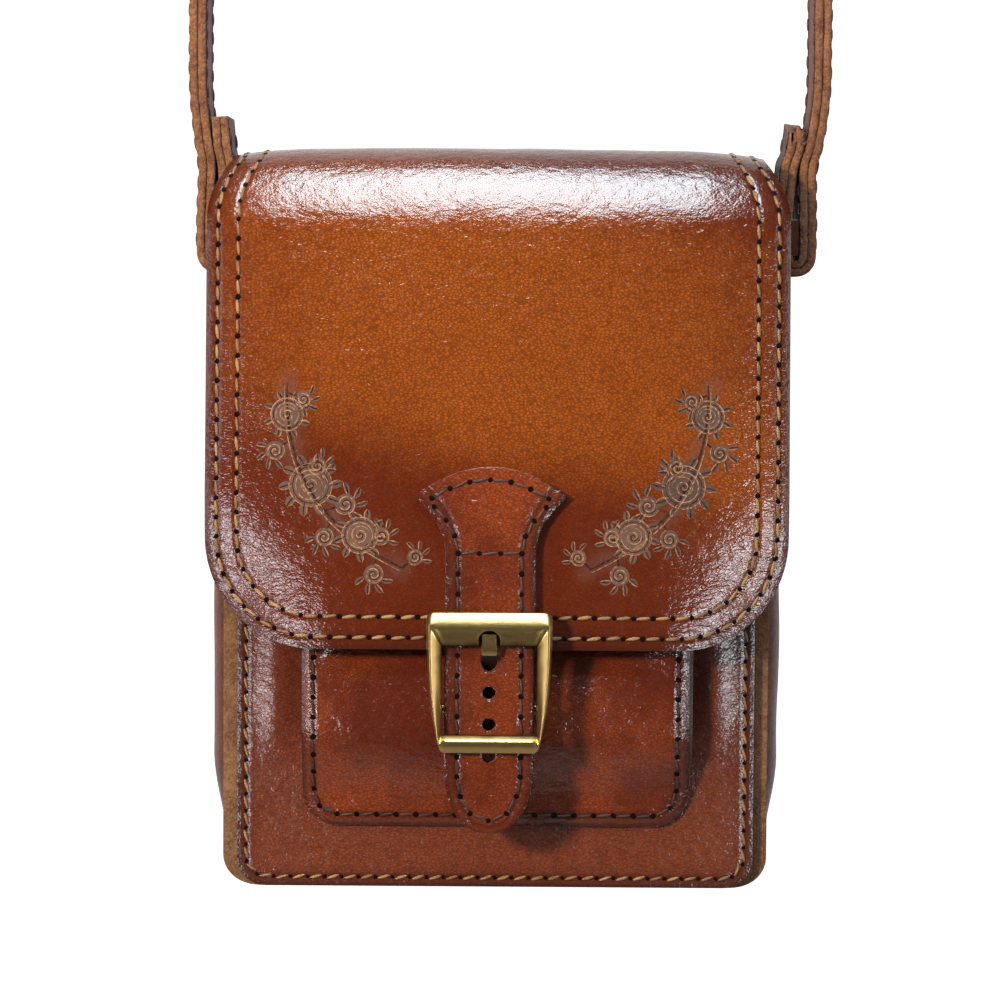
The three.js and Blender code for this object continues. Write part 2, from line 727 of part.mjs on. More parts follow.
// One side of the strap: up the folded-back end, round the fold, up the long run to the crown.
function strapHalfLine(end) {
  const { inner, outer } = strapPlaces(end);
  const { lean: endLean, flare } = end;
  const foldRadius = (outer - inner) / 2;
  const foldHeight = bridgeBottom - gap;
  const above = bridgeBottom + bridgeHeight;
  const joined = inner + strapWall + gap;
  const crown = bagHeight + strapDrop + strapWall / 2;
  const line = [
    [inner + endLean, strapEnd], [inner + endLean * 0.75, strapJoin + 2 * strapBendStep],
    [inner + endLean * 0.3, strapJoin - strapBendStep], [inner, above],
  ];
  spread(180 * degrees, 360 * degrees, 8).forEach((angle) => line.push([
    inner + foldRadius + foldRadius * Math.cos(angle), foldHeight + foldRadius * Math.sin(angle),
  ]));
  line.push(
    [outer, above],
    [mix(outer, joined + endLean * 0.4, 0.8), strapJoin - strapBendStep],
    [joined + endLean * 0.8, strapJoin + 2 * strapBendStep],
    [joined + endLean + flare * 0.4, strapEnd],
  );
  const start = new THREE.Vector2(joined + endLean + flare, strapFree);
  const curve = new THREE.CubicBezierCurve(
    start,
    new THREE.Vector2(start.x + flare, strapFree + strapShoulderReach),
    new THREE.Vector2(strapCrownReach, crown),
    new THREE.Vector2(0, crown),
  );
  curve.getSpacedPoints(26).forEach((point) => line.push([point.x, point.y]));
  return line.map(([x, z]) => [end.side * x, z]);
}

function shoulderStrap() {
  const [left, right] = strapSides.map(strapHalfLine);
  const line = [...left, ...right.reverse().slice(1)];
  const place = (x, z, y) => new THREE.Vector3(x, y, z);
  return ribbon(line, strapWall, -strapWidth / 2, strapWidth / 2, place);
}

// Assembly

const leather = { color: 0x9c4a1e, roughness: 0.42, metalness: 0 };
const panelLeather = { color: 0x8a4228, roughness: 0.45, metalness: 0 };
const strapLeather = { color: 0x7a4426, roughness: 0.6, metalness: 0 };
const brass = { color: 0xb09040, roughness: 0.35, metalness: 1 };

const pieces = [
  { name: 'back_and_flap', geometry: backAndFlap(), look: leather },
  { name: 'front_panel', geometry: frontPanel(), look: panelLeather },
  { name: 'gusset', geometry: gusset(), look: strapLeather },
  { name: 'pocket_front', geometry: pocketPlate(), look: leather },
  ...pocketSides.map((one) => ({ name: one.name, geometry: pocketGusset(one), look: strapLeather })),
  { name: 'fastening_strap', geometry: fasteningStrap(prongRoom()), look: leather },
  { name: 'buckle_frame', geometry: buckleFrame(), look: brass },
  { name: 'buckle_prong', geometry: prong(), look: brass },
  { name: 'buckle_anchor', geometry: buckleAnchor(), look: panelLeather },
  ...strapSides.map((one) => ({ name: one.name, geometry: strapBridge(one), look: strapLeather })),
  { name: 'shoulder_strap', geometry: shoulderStrap(), look: strapLeather },
];

const bag = new THREE.Group();
for (const { name, geometry, look } of pieces) {
  const mesh = new THREE.Mesh(geometry, new THREE.MeshStandardMaterial(look));
  mesh.name = name;
  bag.add(mesh);
}
bag.position.z = -(bagHeight + strapDrop);

export default bag;
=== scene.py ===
import math
import random

import bmesh
import bpy
from mathutils import Matrix, Vector, noise


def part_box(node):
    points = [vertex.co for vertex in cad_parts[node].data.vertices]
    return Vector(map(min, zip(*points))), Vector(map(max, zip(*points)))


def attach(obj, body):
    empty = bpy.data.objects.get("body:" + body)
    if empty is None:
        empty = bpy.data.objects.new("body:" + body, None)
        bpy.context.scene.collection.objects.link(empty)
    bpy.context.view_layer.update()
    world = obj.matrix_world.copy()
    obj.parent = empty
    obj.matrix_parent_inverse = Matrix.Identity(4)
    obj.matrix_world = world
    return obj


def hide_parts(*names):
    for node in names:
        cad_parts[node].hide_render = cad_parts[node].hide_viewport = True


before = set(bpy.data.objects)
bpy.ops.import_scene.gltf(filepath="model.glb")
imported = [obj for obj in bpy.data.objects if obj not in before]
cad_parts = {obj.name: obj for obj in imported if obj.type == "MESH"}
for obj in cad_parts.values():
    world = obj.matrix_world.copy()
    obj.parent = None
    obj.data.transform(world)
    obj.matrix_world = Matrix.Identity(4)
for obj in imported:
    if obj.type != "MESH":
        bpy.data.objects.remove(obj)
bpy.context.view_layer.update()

# Front panel
# A 2.8 mm panel of glossy grained leather with round lower corners. It is sewn to the turned-out
# edge of the side strip round its two sides and its bottom, and it is crowned a little.
mm = 0.001
panel_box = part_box("front_panel")
seam_setback = 0.8
ground = panel_box[0][2] - seam_setback * mm
panel_wall = 2.8
panel_half = panel_box[1][0] / mm
panel_top = (panel_box[1][2] - ground) / mm
panel_corner = 8.0
panel_face = -panel_box[1][1] / mm + panel_wall
panel_crown = 1.2


def mix(a, b, t):
    return a + (b - a) * t


def smooth(t):
    k = min(1.0, max(0.0, t))
    return k * k * (3 - 2 * k)


def spread(a, b, steps):
    return [mix(a, b, i / steps) for i in range(steps + 1)]


def wavy(x, y, seed, size):
    """Soft unevenness between about -1 and 1 whose swells are about size millimetres wide."""
    return noise.noise(Vector((x / size, y / size, seed)))


def at(x, y, z):
    """A place in the bag's own millimetres, from the middle of its bottom, in the row frame."""
    return Vector((x * mm, y * mm, ground + z * mm))


def corner_rows(bottom, top, half, radius, step, corner_steps=9):
    """Heights and half widths of a panel with round lower corners, from its bottom edge up."""
    rows = [(bottom + radius * (1 - math.cos(a)), half - radius * (1 - math.sin(a)))
            for a in spread(0, math.pi / 2, corner_steps)]
    count = max(1, round((top - bottom - radius) / step))
    return rows + [(z, half) for z in spread(bottom + radius, top, count)[1:]]


def rim_distance(x, from_end, half, radius):
    """How far a point lies inside the cut edge of a panel with round corners at one end."""
    side = half - abs(x)
    if side < radius and from_end < radius:
        return radius - math.hypot(radius - side, radius - from_end)
    return min(side, from_end)


class Look:
    """A material's tree and one socket in it. Arithmetic on it adds the Math nodes."""

    def __init__(self, tree, socket=None):
        self.tree = tree
        self.socket = socket

    def node(self, kind, inputs=None, settings=None, out=0):
        node = self.tree.nodes.new("ShaderNode" + kind)
        for name, value in (settings or {}).items():
            setattr(node, name, value)
        for name, value in (inputs or {}).items():
            if isinstance(value, Look):
                self.tree.links.new(value.socket, node.inputs[name])
            else:
                node.inputs[name].default_value = value
        return Look(self.tree, node.outputs[out])

    def maths(self, operation, first, second=0.0):
        return self.node("Math", {0: first, 1: second}, {"operation": operation})

    def __add__(self, other):
        return self.maths("ADD", self, other)

    def __sub__(self, other):
        return self.maths("SUBTRACT", self, other)

    def __rsub__(self, other):
        return self.maths("SUBTRACT", other, self)

    def __mul__(self, other):
        return self.maths("MULTIPLY", self, other)

    def __truediv__(self, other):
        return self.maths("DIVIDE", self, other)

    __radd__ = __add__
    __rmul__ = __mul__

    def ramp(self, low, high, start=0.0, end=1.0):
        """start below low, end above high, and a smooth step between them."""
        return self.node("MapRange", {"Value": self, "From Min": low, "From Max": high,
                                      "To Min": start, "To Max": end},
                         {"interpolation_type": "SMOOTHSTEP"})

    def bump_at(self, middle, reach):
        """1 where the value is middle, falling to 0 at reach from it."""
        return self.maths("ABSOLUTE", self - middle).ramp(0.0, reach, 1.0, 0.0)

    def blend(self, first, second, factor):
        """The colour first where factor is 0 and second where it is 1."""
        return self.node("Mix", {0: factor, 6: first, 7: second}, {"data_type": "RGBA"}, out=2)

    def attribute(self, name):
        return self.node("Attribute", settings={"attribute_name": name}, out=2)

    def noise(self, place, scale, detail=3.0, rough=0.5):
        return self.node("TexNoise", {"Vector": place, "Scale": scale, "Detail": detail,
                                      "Roughness": rough})


def rgb(red, green, blue):
    """A colour given in display values, as the linear values that a shader takes."""
    return tuple(((c / 255 + 0.055) / 1.055) ** 2.4 for c in (red, green, blue)) + (1.0,)


def new_material(name):
    material = bpy.data.materials.new(name)
    material.use_nodes = True
    shader = material.node_tree.nodes["Principled BSDF"]
    return material, shader, Look(material.node_tree)


def connect(look, shader, **values):
    for name, value in values.items():
        socket = shader.inputs[name.replace("_", " ")]
        if isinstance(value, Look):
            look.tree.links.new(value.socket, socket)
        else:
            socket.default_value = value


crease_depth = 0.025
wrinkle_depth = 0.14
wrinkle_gain = 0.24
fine_depth = 0.003
swell_depth = 0.4
seam_depth = 0.15


def leather(name, light, dark, edge, gloss, seams=(), tone=None, wrinkles=0.5, shine=0.7):
    """Glazed grained hide. tone says where the light colour shows. The attribute rim is the
    distance from the cut edge in millimetres: it burnishes the edge and presses in the seams. The
    depths above are the millimetres that each kind of relief stands out."""
    material, shader, look = new_material(name)
    place = look.node("TexCoord", out=3)
    rim = look.attribute("rim")
    swirl = look.node("TexNoise", {"Vector": place, "Scale": 380.0, "Detail": 2.0}, out=1)
    bent = look.node("VectorMath", {0: swirl, 3: 0.0011}, {"operation": "SCALE"})
    bent = look.node("VectorMath", {0: place, 1: bent}, {"operation": "ADD"})
    flat = look.node("Mapping", {"Vector": bent, "Scale": (0.8, 1.0, 1.25)})
    cells = look.node("TexVoronoi", {"Vector": flat, "Scale": 1150.0},
                      {"feature": "DISTANCE_TO_EDGE"})
    crack = cells.ramp(0.0, 0.3)
    fine = look.noise(flat, 2300.0, 1.0)
    wrinkle = look.noise(flat, 420.0, 2.0, 0.5)
    swell = look.noise(place, 90.0, 3.0)
    patches = look.noise(place, 24.0, 3.0)
    mottle = look.noise(place, 210.0, 4.0, 0.6)
    lightness = tone(look, place) if tone else patches.ramp(0.3, 0.7)
    lightness = lightness + (mottle - 0.5) * 0.5 + (patches - 0.5) * 0.35
    colour = look.blend(dark, light, lightness.ramp(0.0, 1.0))
    burnish = rim.ramp(0.0, 10.0, 0.5, 0.0) + rim.ramp(0.0, 2.0, 0.35, 0.0)
    pressed = rim * 0.0
    for inset in seams:
        pressed = pressed + rim.bump_at(inset, 1.5)
    burnish = burnish + pressed * 0.3 + (mottle - 0.5) * 0.3
    colour = look.blend(colour, edge, burnish.ramp(0.0, 1.0))
    colour = look.blend(colour, edge, crack.ramp(0.0, 1.0, 0.6, 0.0))
    height = crack * crease_depth + wrinkle * (wrinkle_depth + wrinkle_gain * wrinkles)
    height = height + fine * fine_depth + swell * swell_depth * wrinkles - pressed * seam_depth
    bump = look.node("Bump", {"Height": height, "Strength": 1.0, "Distance": mm})
    rough = gloss + mottle.ramp(0.3, 0.75) * 0.04 + crack.ramp(0.0, 1.0, 0.06, 0.0)
    connect(look, shader, Base_Color=colour, Roughness=rough, Normal=bump)
    connect(look, shader, Specular_IOR_Level=shine)
    return material


def raw_leather(name, light, dark, flecks=0.35):
    """The rough fibrous side of a hide or its cut edge, with lighter broken fibres."""
    material, shader, look = new_material(name)
    place = look.node("TexCoord", out=3)
    fibre = look.noise(place, 1000.0, 5.0, 0.7)
    clump = look.noise(place, 170.0, 3.0)
    speck = look.node("TexVoronoi", {"Vector": place, "Scale": 1500.0})
    amount = (fibre - 0.5) * 1.6 + (clump - 0.5) * 0.9 + 0.4 + speck.ramp(0.12, 0.4, flecks, 0.0)
    height = fibre * 0.9 + clump * 0.5 + speck * 0.4
    bump = look.node("Bump", {"Height": height, "Strength": 0.9, "Distance": 0.0005})
    connect(look, shader, Base_Color=look.blend(dark, light, amount.ramp(0.0, 1.0)), Normal=bump,
            Roughness=fibre.ramp(0.2, 0.8, 0.6, 0.85), Specular_IOR_Level=0.25)
    return material


def finish_mesh(bm, name, materials, slot, *nodes):
    """Makes the object, rides it on the bag and lets it stand for the CAD nodes that are named."""
    mesh = bpy.data.meshes.new(name)
    bm.to_mesh(mesh)
    bm.free()
    for polygon in mesh.polygons:
        polygon.use_smooth = True
    piece = bpy.data.objects.new(name, mesh)
    bpy.context.scene.collection.objects.link(piece)
    for material in materials:
        mesh.materials.append(material)
    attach(piece, "root")
    if nodes:
        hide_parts(*nodes)
    return piece


def round_edges(piece, width):
    edge = piece.modifiers.new("edge", "BEVEL")
    edge.width = width * mm
    edge.segments = 3
    edge.limit_method = "ANGLE"
    edge.angle_limit = math.radians(50)


def leather_sheet(name, rows, columns, place, wall, materials, slot, *nodes, facing, rounding=0.45):
    """A sheet of hide. place(row, share) gives a point of its outer face, share running from -1
    to 1 across, and the values of its attributes. The wall goes in from that face. The materials
    are those of the outer face, of the inner one where there are three, and of the cut edge."""
    bm = bmesh.new()
    bmesh.ops.create_grid(bm, x_segments=columns, y_segments=len(rows) - 1, size=0.5)
    layers = [bm.verts.layers.float.new(key) for key in place(rows[0], 0)[1]]
    for vert in bm.verts:
        row = rows[round((vert.co.y + 0.5) * (len(rows) - 1))]
        point, values = place(row, 2 * vert.co.x)
        vert.co = at(*point)
        for layer, value in zip(layers, values.values()):
            vert[layer] = value
    bm.normal_update()
    bm.faces.ensure_lookup_table()
    if bm.faces[len(bm.faces) // 2 + columns // 2].normal.dot(Vector(facing)) < 0:
        bmesh.ops.reverse_faces(bm, faces=bm.faces)
    piece = finish_mesh(bm, name, materials, slot, *nodes)
    solid = piece.modifiers.new("wall", "SOLIDIFY")
    solid.thickness = wall * mm
    solid.offset = -1
    solid.use_even_offset = True
    solid.material_offset = 1 if len(materials) > 2 else 0
    solid.material_offset_rim = len(materials) - 1
    round_edges(piece, rounding)
    return piece


def panel_front(x, z):
    """How far the panel's outer face stands in front of the middle of the bag."""
    middle = (seam_setback + panel_top) / 2
    across = min(1.0, abs(x / panel_half))
    up = min(1.0, abs((z - middle) / (panel_top - middle)))
    return panel_face + panel_crown * (1 - across ** 2) * (1 - up ** 4)


def panel_skin(x, z):
    """A point of the panel's outer face with its swells and the ridges beside the pocket."""
    inside = smooth(rim_distance(x, z - seam_setback, panel_half, panel_corner) / 10)
    ridge = 1.1 * math.exp(-((abs(x) - 60.5) / 4.5) ** 2) * smooth((z - 30) / 25)
    return x, -panel_front(x, z) - inside * (0.45 * wavy(x, z, 3.1, 30) + ridge), z


def panel_place(row, share):
    x = share * row[1]
    return panel_skin(x, row[0]), {"rim": rim_distance(x, row[0] - seam_setback, panel_half, panel_corner)}


def panel_tone(look, place):
    """The panel is a little lighter towards its lower edge."""
    height = look.node("SeparateXYZ", {0: place}, out=2)
    return ((height - ground) / (60 * mm)).ramp(0.0, 1.0, 0.75, 0.35)


panel_seam = 2.6
panel_leather = leather("panel_leather", rgb(156, 74, 38), rgb(108, 44, 22), rgb(66, 24, 12),
                        gloss=0.2, seams=(panel_seam,), tone=panel_tone)
cut_edge = raw_leather("cut_edge", rgb(150, 100, 62), rgb(88, 48, 28))
burnished_edge = raw_leather("burnished_edge", rgb(104, 58, 36), rgb(62, 28, 18), flecks=0.1)
leather_sheet("front_panel_hide", corner_rows(seam_setback, panel_top, panel_half, panel_corner, 2.2),
              72, panel_place, panel_wall, [panel_leather, burnished_edge], "panel_leather",
              "front_panel", facing=(0, -1, 0))

# Side strip
# One long strip of hide makes both sides and the bottom. Its two edges are turned outwards behind
# the panels, so its raw flesh side shows as a pale band beyond each seam.
gusset_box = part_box("gusset")
gusset_wall = 2.2
gusset_top = (gusset_box[1][2] - ground) / mm
flange_face = gusset_box[1][1] / mm
seam_show = 4.0
base_show = 0.5
bend_radius = 1.8
web_inset = 4.4
side_bulge = 7.0
low_bulge = 3.4
low_end = 36.0
pull_start = 120.0
pull_end = 176.0
base_bulge = -1.2
top_bulge = {-1: 0.0, 1: 4.2}
squareness = 4


def gusset_stations():
    """Places along the panel's edge with the way out, the web's bulge and the edge that shows."""
    corner_height = seam_setback + panel_corner

    def upright(side, z):
        full = mix(low_bulge, side_bulge, smooth((z - corner_height) / (low_end - corner_height)))
        pull = smooth((z - pull_start) / (pull_end - pull_start))
        return side * panel_half, z, side, 0.0, mix(full, top_bulge[side], pull), seam_show

    def bent(side, angle):
        share = smooth(angle / (math.pi / 2))
        return (side * (panel_half - panel_corner + panel_corner * math.cos(angle)),
                corner_height - panel_corner * math.sin(angle), side * math.cos(angle), -math.sin(angle),
                mix(low_bulge, base_bulge, share), mix(seam_show, base_show, share))

    reach = panel_half - panel_corner
    heights = spread(gusset_top, corner_height, 70)
    angles = spread(0, math.pi / 2, 12)
    left = [upright(-1, z) for z in heights] + [bent(-1, a) for a in angles[1:]]
    base = [(x, seam_setback, 0.0, -1.0, base_bulge, base_show) for x in spread(-reach, reach, 50)[1:-1]]
    right = [bent(1, a) for a in angles[:0:-1]] + [upright(1, z) for z in heights[::-1]]
    return left + base + right


def gusset_section(bulge, show):
    """The strip's centre line as (out, y): front seam edge, bend, bulging web, and the same back."""
    seam_y = flange_face - gusset_wall / 2
    root = -web_inset
    web_half = seam_y - bend_radius
    heading = 0.0
    for _ in range(6):
        heading = math.atan2(web_half, squareness * (bulge - root))
        web_half = seam_y - bend_radius * (1 + math.cos(heading))
    half = [(show, -seam_y), (mix(show, root, 0.4), -seam_y)]
    half += [(root + bend_radius * (math.sin(heading) - math.sin(a)),
              -web_half - bend_radius * (math.cos(heading) - math.cos(a)))
             for a in spread(math.pi, heading, 7)]
    half += [(mix(root, bulge, 1 - share ** squareness), -share * web_half)
             for share in (0.93, 0.86, 0.78, 0.7, 0.6, 0.48, 0.35, 0.22, 0.1)]
    return half + [(bulge, 0.0)] + [(out, -y) for out, y in reversed(half)]


def normals_of(line):
    """Unit vectors across a line of points in a plane, to the left of its way."""
    result = []
    for i in range(len(line)):
        way = (Vector(line[min(len(line) - 1, i + 1)]) - Vector(line[max(0, i - 1)])).normalized()
        result.append(Vector((-way[1], way[0])))
    return result


def gusset_place(row, share):
    x, z, out_x, out_z, bulge, show = row
    line = gusset_section(bulge, show)
    index = round((share + 1) / 2 * (len(line) - 1))
    normal = normals_of(line)[index]
    web = smooth((index - 7) / 5) * smooth((len(line) - 8 - index) / 5)
    out = line[index][0] - normal[0] * gusset_wall / 2 + web * 0.6 * wavy(line[index][1], x + z, 5.0, 26)
    y = line[index][1] - normal[1] * gusset_wall / 2
    return (x + out_x * out, y, z + out_z * out), {"rim": 12.0 * web}


side_leather = leather("side_leather", rgb(140, 74, 36), rgb(96, 46, 24), rgb(62, 30, 18), gloss=0.45)
flesh_side = raw_leather("flesh_side", rgb(170, 124, 84), rgb(112, 72, 44))
leather_sheet("side_strip", gusset_stations(), len(gusset_section(side_bulge, seam_show)) - 1,
              gusset_place, gusset_wall, [side_leather, flesh_side, cut_edge], "gusset_leather",
              "gusset", facing=(0, 0, -1), rounding=0.3)

# Back panel and flap
# One 3.2 mm hide runs up the back, over the top and down the front. It is orange brown, with a
# painted sheen of lighter orange across its upper middle and towards its lower right corner. It is
# burnished darker towards its edges, and its lower corners curl back a little.
hide_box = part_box("back_and_flap")
hide_wall = 3.2
bag_height = (hide_box[1][2] - ground) / mm
flap_half = hide_box[1][0] / mm
flap_edge_height = 68.3
flap_corner = 30
top_half = 73.2
spread_start = 0.1
spread_range = 0.75
back_spread = (154, 184)
back_top_radius = 12
front_top_radius = 25
flap_top_standoff = 35.4
top_droop = 4
flap_droop = 3
droop_sharpness = 10
back_face = hide_box[1][1] / mm
flap_edge_front = -hide_box[0][1] / mm
corner_curl = 6.5
curl_start = 44
rim_blend = 22
front_start = 215
front_blend = 40
flap_crown = 1.5
slow_swell = 0.8
fast_swell = 0.25


def bend_run():
    """The flap's lean, the height where its straight run starts, and the front of the top."""
    tilt = 0.0
    for _ in range(12):
        run_top = bag_height - front_top_radius * (1 - math.sin(tilt))
        tilt = math.atan2(flap_edge_front - flap_top_standoff, run_top - flap_edge_height)
    turn = math.pi / 2 - tilt
    return (tilt, bag_height - front_top_radius * (1 - math.cos(turn)),
            flap_top_standoff - front_top_radius * math.sin(turn))


flap_lean, flap_run_top, top_front = bend_run()


def flap_front(z):
    """How far the flap's outer face stands in front of the middle of the bag below its bend."""
    return flap_top_standoff + (flap_run_top - z) * math.tan(flap_lean)


def hide_rows():
    """Rows from the back's bottom edge over the top to the flap's lower edge. Each holds y, z, the
    way out, the droop of its ends, its half width, the width's share there and two distances."""
    rows = []
    turn = math.pi / 2 - flap_lean
    for z, half in corner_rows(seam_setback, bag_height - back_top_radius, panel_half, panel_corner, 3.5):
        wide = mix(panel_half, top_half, smooth((z - back_spread[0]) / (back_spread[1] - back_spread[0])))
        rows.append((back_face, z, (1.0, 0.0), 0.0, min(half, wide) if z < 20 else wide, wide))
    for a in spread(0, math.pi / 2, 8)[1:]:
        rows.append((back_face - back_top_radius * (1 - math.cos(a)),
                     bag_height - back_top_radius * (1 - math.sin(a)), (math.cos(a), math.sin(a)),
                     top_droop * smooth(a / (math.pi / 2)), top_half, top_half))
    for y in spread(back_face - back_top_radius, -top_front, 10)[1:]:
        rows.append((y, bag_height, (0.0, 1.0), top_droop, top_half, top_half))
    for a in spread(0, turn, 22)[1:]:
        wide = mix(top_half, flap_half, smooth((a / turn - spread_start) / spread_range))
        rows.append((-top_front - front_top_radius * math.sin(a),
                     bag_height - front_top_radius * (1 - math.cos(a)), (-math.sin(a), math.cos(a)),
                     mix(top_droop, flap_droop, smooth(a / turn)), wide, wide))
    front = corner_rows(flap_edge_height, flap_run_top, flap_half, flap_corner, 1.8, 22)
    for z, half in reversed(front[:-1]):
        out = (-math.cos(flap_lean), math.sin(flap_lean))
        rows.append((-flap_front(z), z, out, flap_droop, half, flap_half))
    length = [0.0]
    for before, after in zip(rows, rows[1:]):
        length.append(length[-1] + math.dist(before[:2], after[:2]))
    return [(*row, start, length[-1] - start) for row, start in zip(rows, length)]


def hide_point(row, x):
    """A point of the hide's outer face, with the droop of its ends, its curled lower corners, the
    flap's shallow crown and some slow swells."""
    y, z, out, droop, _, wide, from_start, from_end = row
    inside = smooth(min(wide - abs(x), from_end + 4) / rim_blend)
    front = smooth((from_start - front_start) / front_blend)
    curl = corner_curl * smooth((abs(x) - curl_start) / 34) * smooth((curl_start - from_end) / 42) * front
    crown = front * (flap_crown * (1 - (x / flap_half) ** 2) + slow_swell * wavy(x, from_end, 8.4, 60))
    crown += fast_swell * wavy(x, from_end, 2.2, 14)
    sink = droop * abs(x / flap_half) ** droop_sharpness + curl - inside * crown
    return x, y - out[0] * sink, z - out[1] * sink


stem_ends = ((-57, 140), (-58, 112), (-44, 99), (-25, 90))
scorch_reach = 5


def bezier(points, t):
    """A point of the curve that a run of control points gives."""
    while len(points) > 1:
        points = [(mix(a[0], b[0], t), mix(a[1], b[1], t)) for a, b in zip(points, points[1:])]
    return points[0]


stem = [bezier(stem_ends, t) for t in spread(0, 1, 24)]


def hide_place(row, share):
    x = share * row[4]
    rim = min(rim_distance(x, row[6], row[5], panel_corner), rim_distance(x, row[7], row[5], flap_corner))
    scorch = 0.0
    if row[0] < -top_front:
        near = min(math.dist((-abs(x), row[1]), place) for place in stem)
        scorch = smooth((scorch_reach + 2.5 * wavy(x, row[1], 6.0, 6) - near) / 5)
    return hide_point(row, x), {"rim": rim, "scorch": scorch, "side": abs(x)}


def painted_flap_sheen(look, place):
    """Where the flap shows a painted sheen of light orange: a broad slanting band across its upper
    middle, and a paler stretch towards its lower right corner."""
    across = look.node("SeparateXYZ", {0: place}, out=0) / (flap_half * mm)
    height = look.node("SeparateXYZ", {0: place}, out=2)
    up = (height - (ground + 157 * mm)) / (44 * mm) + across * 0.3
    band = (1 - up * up).ramp(-0.5, 1.0) * (1 - across * across * 0.6)
    low = (height - (ground + 100 * mm)) / (40 * mm)
    corner = (1 - low * low).ramp(-0.4, 1.0) * across.ramp(0.35, 0.95)
    return band * 0.95 + corner * 0.45


def scorched(material):
    """Dulls and greys the hide where the pattern is burnt in."""
    shader = material.node_tree.nodes["Principled BSDF"]
    look = Look(material.node_tree)
    amount = look.attribute("scorch")
    for name, value in (("Base Color", rgb(112, 66, 44)), ("Roughness", 0.62)):
        socket = shader.inputs[name]
        before = Look(material.node_tree, socket.links[0].from_socket)
        if name == "Base Color":
            after = look.blend(before, value, amount * 0.5)
        else:
            after = before + amount * 0.12
        look.tree.links.new(after.socket, socket)


hide_seams = (3.2, 8.8)
hide_leather = leather("hide_leather", rgb(184, 92, 22), rgb(118, 42, 8), rgb(80, 30, 10),
                       gloss=0.14, seams=hide_seams, tone=painted_flap_sheen)
scorched(hide_leather)
hide_rows_made = hide_rows()
leather_sheet("hide_back_and_flap", hide_rows_made, 96, hide_place, hide_wall,
              [hide_leather, flesh_side, burnished_edge], "flap_leather", "back_and_flap", facing=(0, 0, 1))

# Front pocket
# A flat 2.4 mm plate lies on the panel at its lower edge. Higher up its outer face stands 11.5 mm
# in front of the panel, and two narrow side strips close it. Its mouth is hidden under the flap.
pocket_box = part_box("pocket_front")
pocket_wall = 2.4
pocket_half = pocket_box[1][0] / mm
pocket_bottom = (pocket_box[0][2] - ground) / mm
pocket_top = (pocket_box[1][2] - ground) / mm
pocket_face = -pocket_box[0][1] / mm
pocket_corner = 9.5
pocket_crown = 0.8
rise_start = 22
rise_end = 47
mouth_fall = 6.0
fall_start = 50
seam_gap = 0.3
pocket_seam = 3.2


def pocket_front(x, z):
    """How far the pocket's outer face stands in front of the middle of the bag."""
    lying = panel_front(x, z) + seam_gap + pocket_wall
    standing = pocket_face - pocket_crown * (x / pocket_half) ** 2
    return mix(lying, standing, smooth((z - rise_start) / (rise_end - rise_start)))


def pocket_skin(x, z):
    """A point of the pocket's outer face. Its upper part falls back a little on both sides of the
    strap, where the leather is creased."""
    rim = rim_distance(x, z - pocket_bottom, pocket_half, pocket_corner)
    inside = smooth(rim / 10)
    fall = mouth_fall * smooth((z - fall_start) / 34) * smooth((pocket_half - abs(x)) / 16)
    rolled = 1.2 * smooth((3.5 - rim) / 3.5)
    sink = fall + rolled - inside * (0.5 * wavy(x, z, 1.7, 20) + 0.3 * wavy(x, z * 0.5, 4.2, 7))
    return x, -pocket_front(x, z) + sink, z


def pocket_place(row, share):
    x = share * row[1]
    rim = rim_distance(x, row[0] - pocket_bottom, pocket_half, pocket_corner)
    return pocket_skin(x, row[0]), {"rim": rim}


pocket_leather = leather("pocket_leather", rgb(170, 74, 26), rgb(114, 40, 14), rgb(78, 28, 12),
                         gloss=0.17, seams=(pocket_seam,), wrinkles=1.0)
leather_sheet("pocket_plate", corner_rows(pocket_bottom, pocket_top, pocket_half, pocket_corner, 1.5),
              72, pocket_place, pocket_wall, [pocket_leather, cut_edge], "pocket_leather",
              "pocket_front", facing=(0, -1, 0))

# Pocket side strips
# A narrow strip of 1.4 mm leather closes each side. Its front edge is sewn under the pocket's
# edge and its back edge is turned in on the panel. The right one shows a little beyond the pocket.
strip_wall = 1.4
strip_inset = 5.5
strip_room = 0.8
strip_bend = 1.2
strip_foot = 7
strip_show = {-1: -0.4, 1: 0.9}


def strip_section(side, z):
    """The strip's centre line as (out, y) at a height."""
    seam_x = pocket_half - strip_inset
    half = strip_wall / 2

    def front_y(x):
        return -(pocket_front(x, z) - pocket_wall - seam_gap - half)

    def back_y(x):
        return -(panel_front(x, z) + seam_gap + half)

    foot = seam_x - strip_foot
    web = [(seam_x, mix(front_y(seam_x), back_y(seam_x), share)) for share in (0.25, 0.5, 0.75)]
    return [(pocket_half + strip_show[side], front_y(pocket_half)), (pocket_half - 1, front_y(pocket_half)),
            (seam_x + strip_bend, front_y(seam_x)), *web,
            (seam_x - strip_bend, back_y(seam_x)), (foot, back_y(foot))]


def strip_place(side):
    def place(row, share):
        line = strip_section(side, row)
        index = round((share + 1) / 2 * (len(line) - 1))
        normal = normals_of(line)[index]
        out = line[index][0] + normal[0] * strip_wall / 2
        return (side * out, line[index][1] + normal[1] * strip_wall / 2, row), {"rim": 3.0}
    return place


strip_start = next(z for z in spread(rise_start, pocket_top, 240)
                   if pocket_front(pocket_half - strip_inset, z) - pocket_wall
                   - panel_front(pocket_half - strip_inset, z) >= 2 * (seam_gap + strip_wall) + strip_room)
for side, side_name in ((-1, "left"), (1, "right")):
    leather_sheet("pocket_strip_" + side_name, spread(strip_start, pocket_top - seam_gap, 24),
                  len(strip_section(side, strip_start)) - 1, strip_place(side), strip_wall,
                  [side_leather, flesh_side, cut_edge], "gusset_leather", "pocket_gusset_" + side_name,
                  facing=(-side, 0, 0), rounding=0.25)

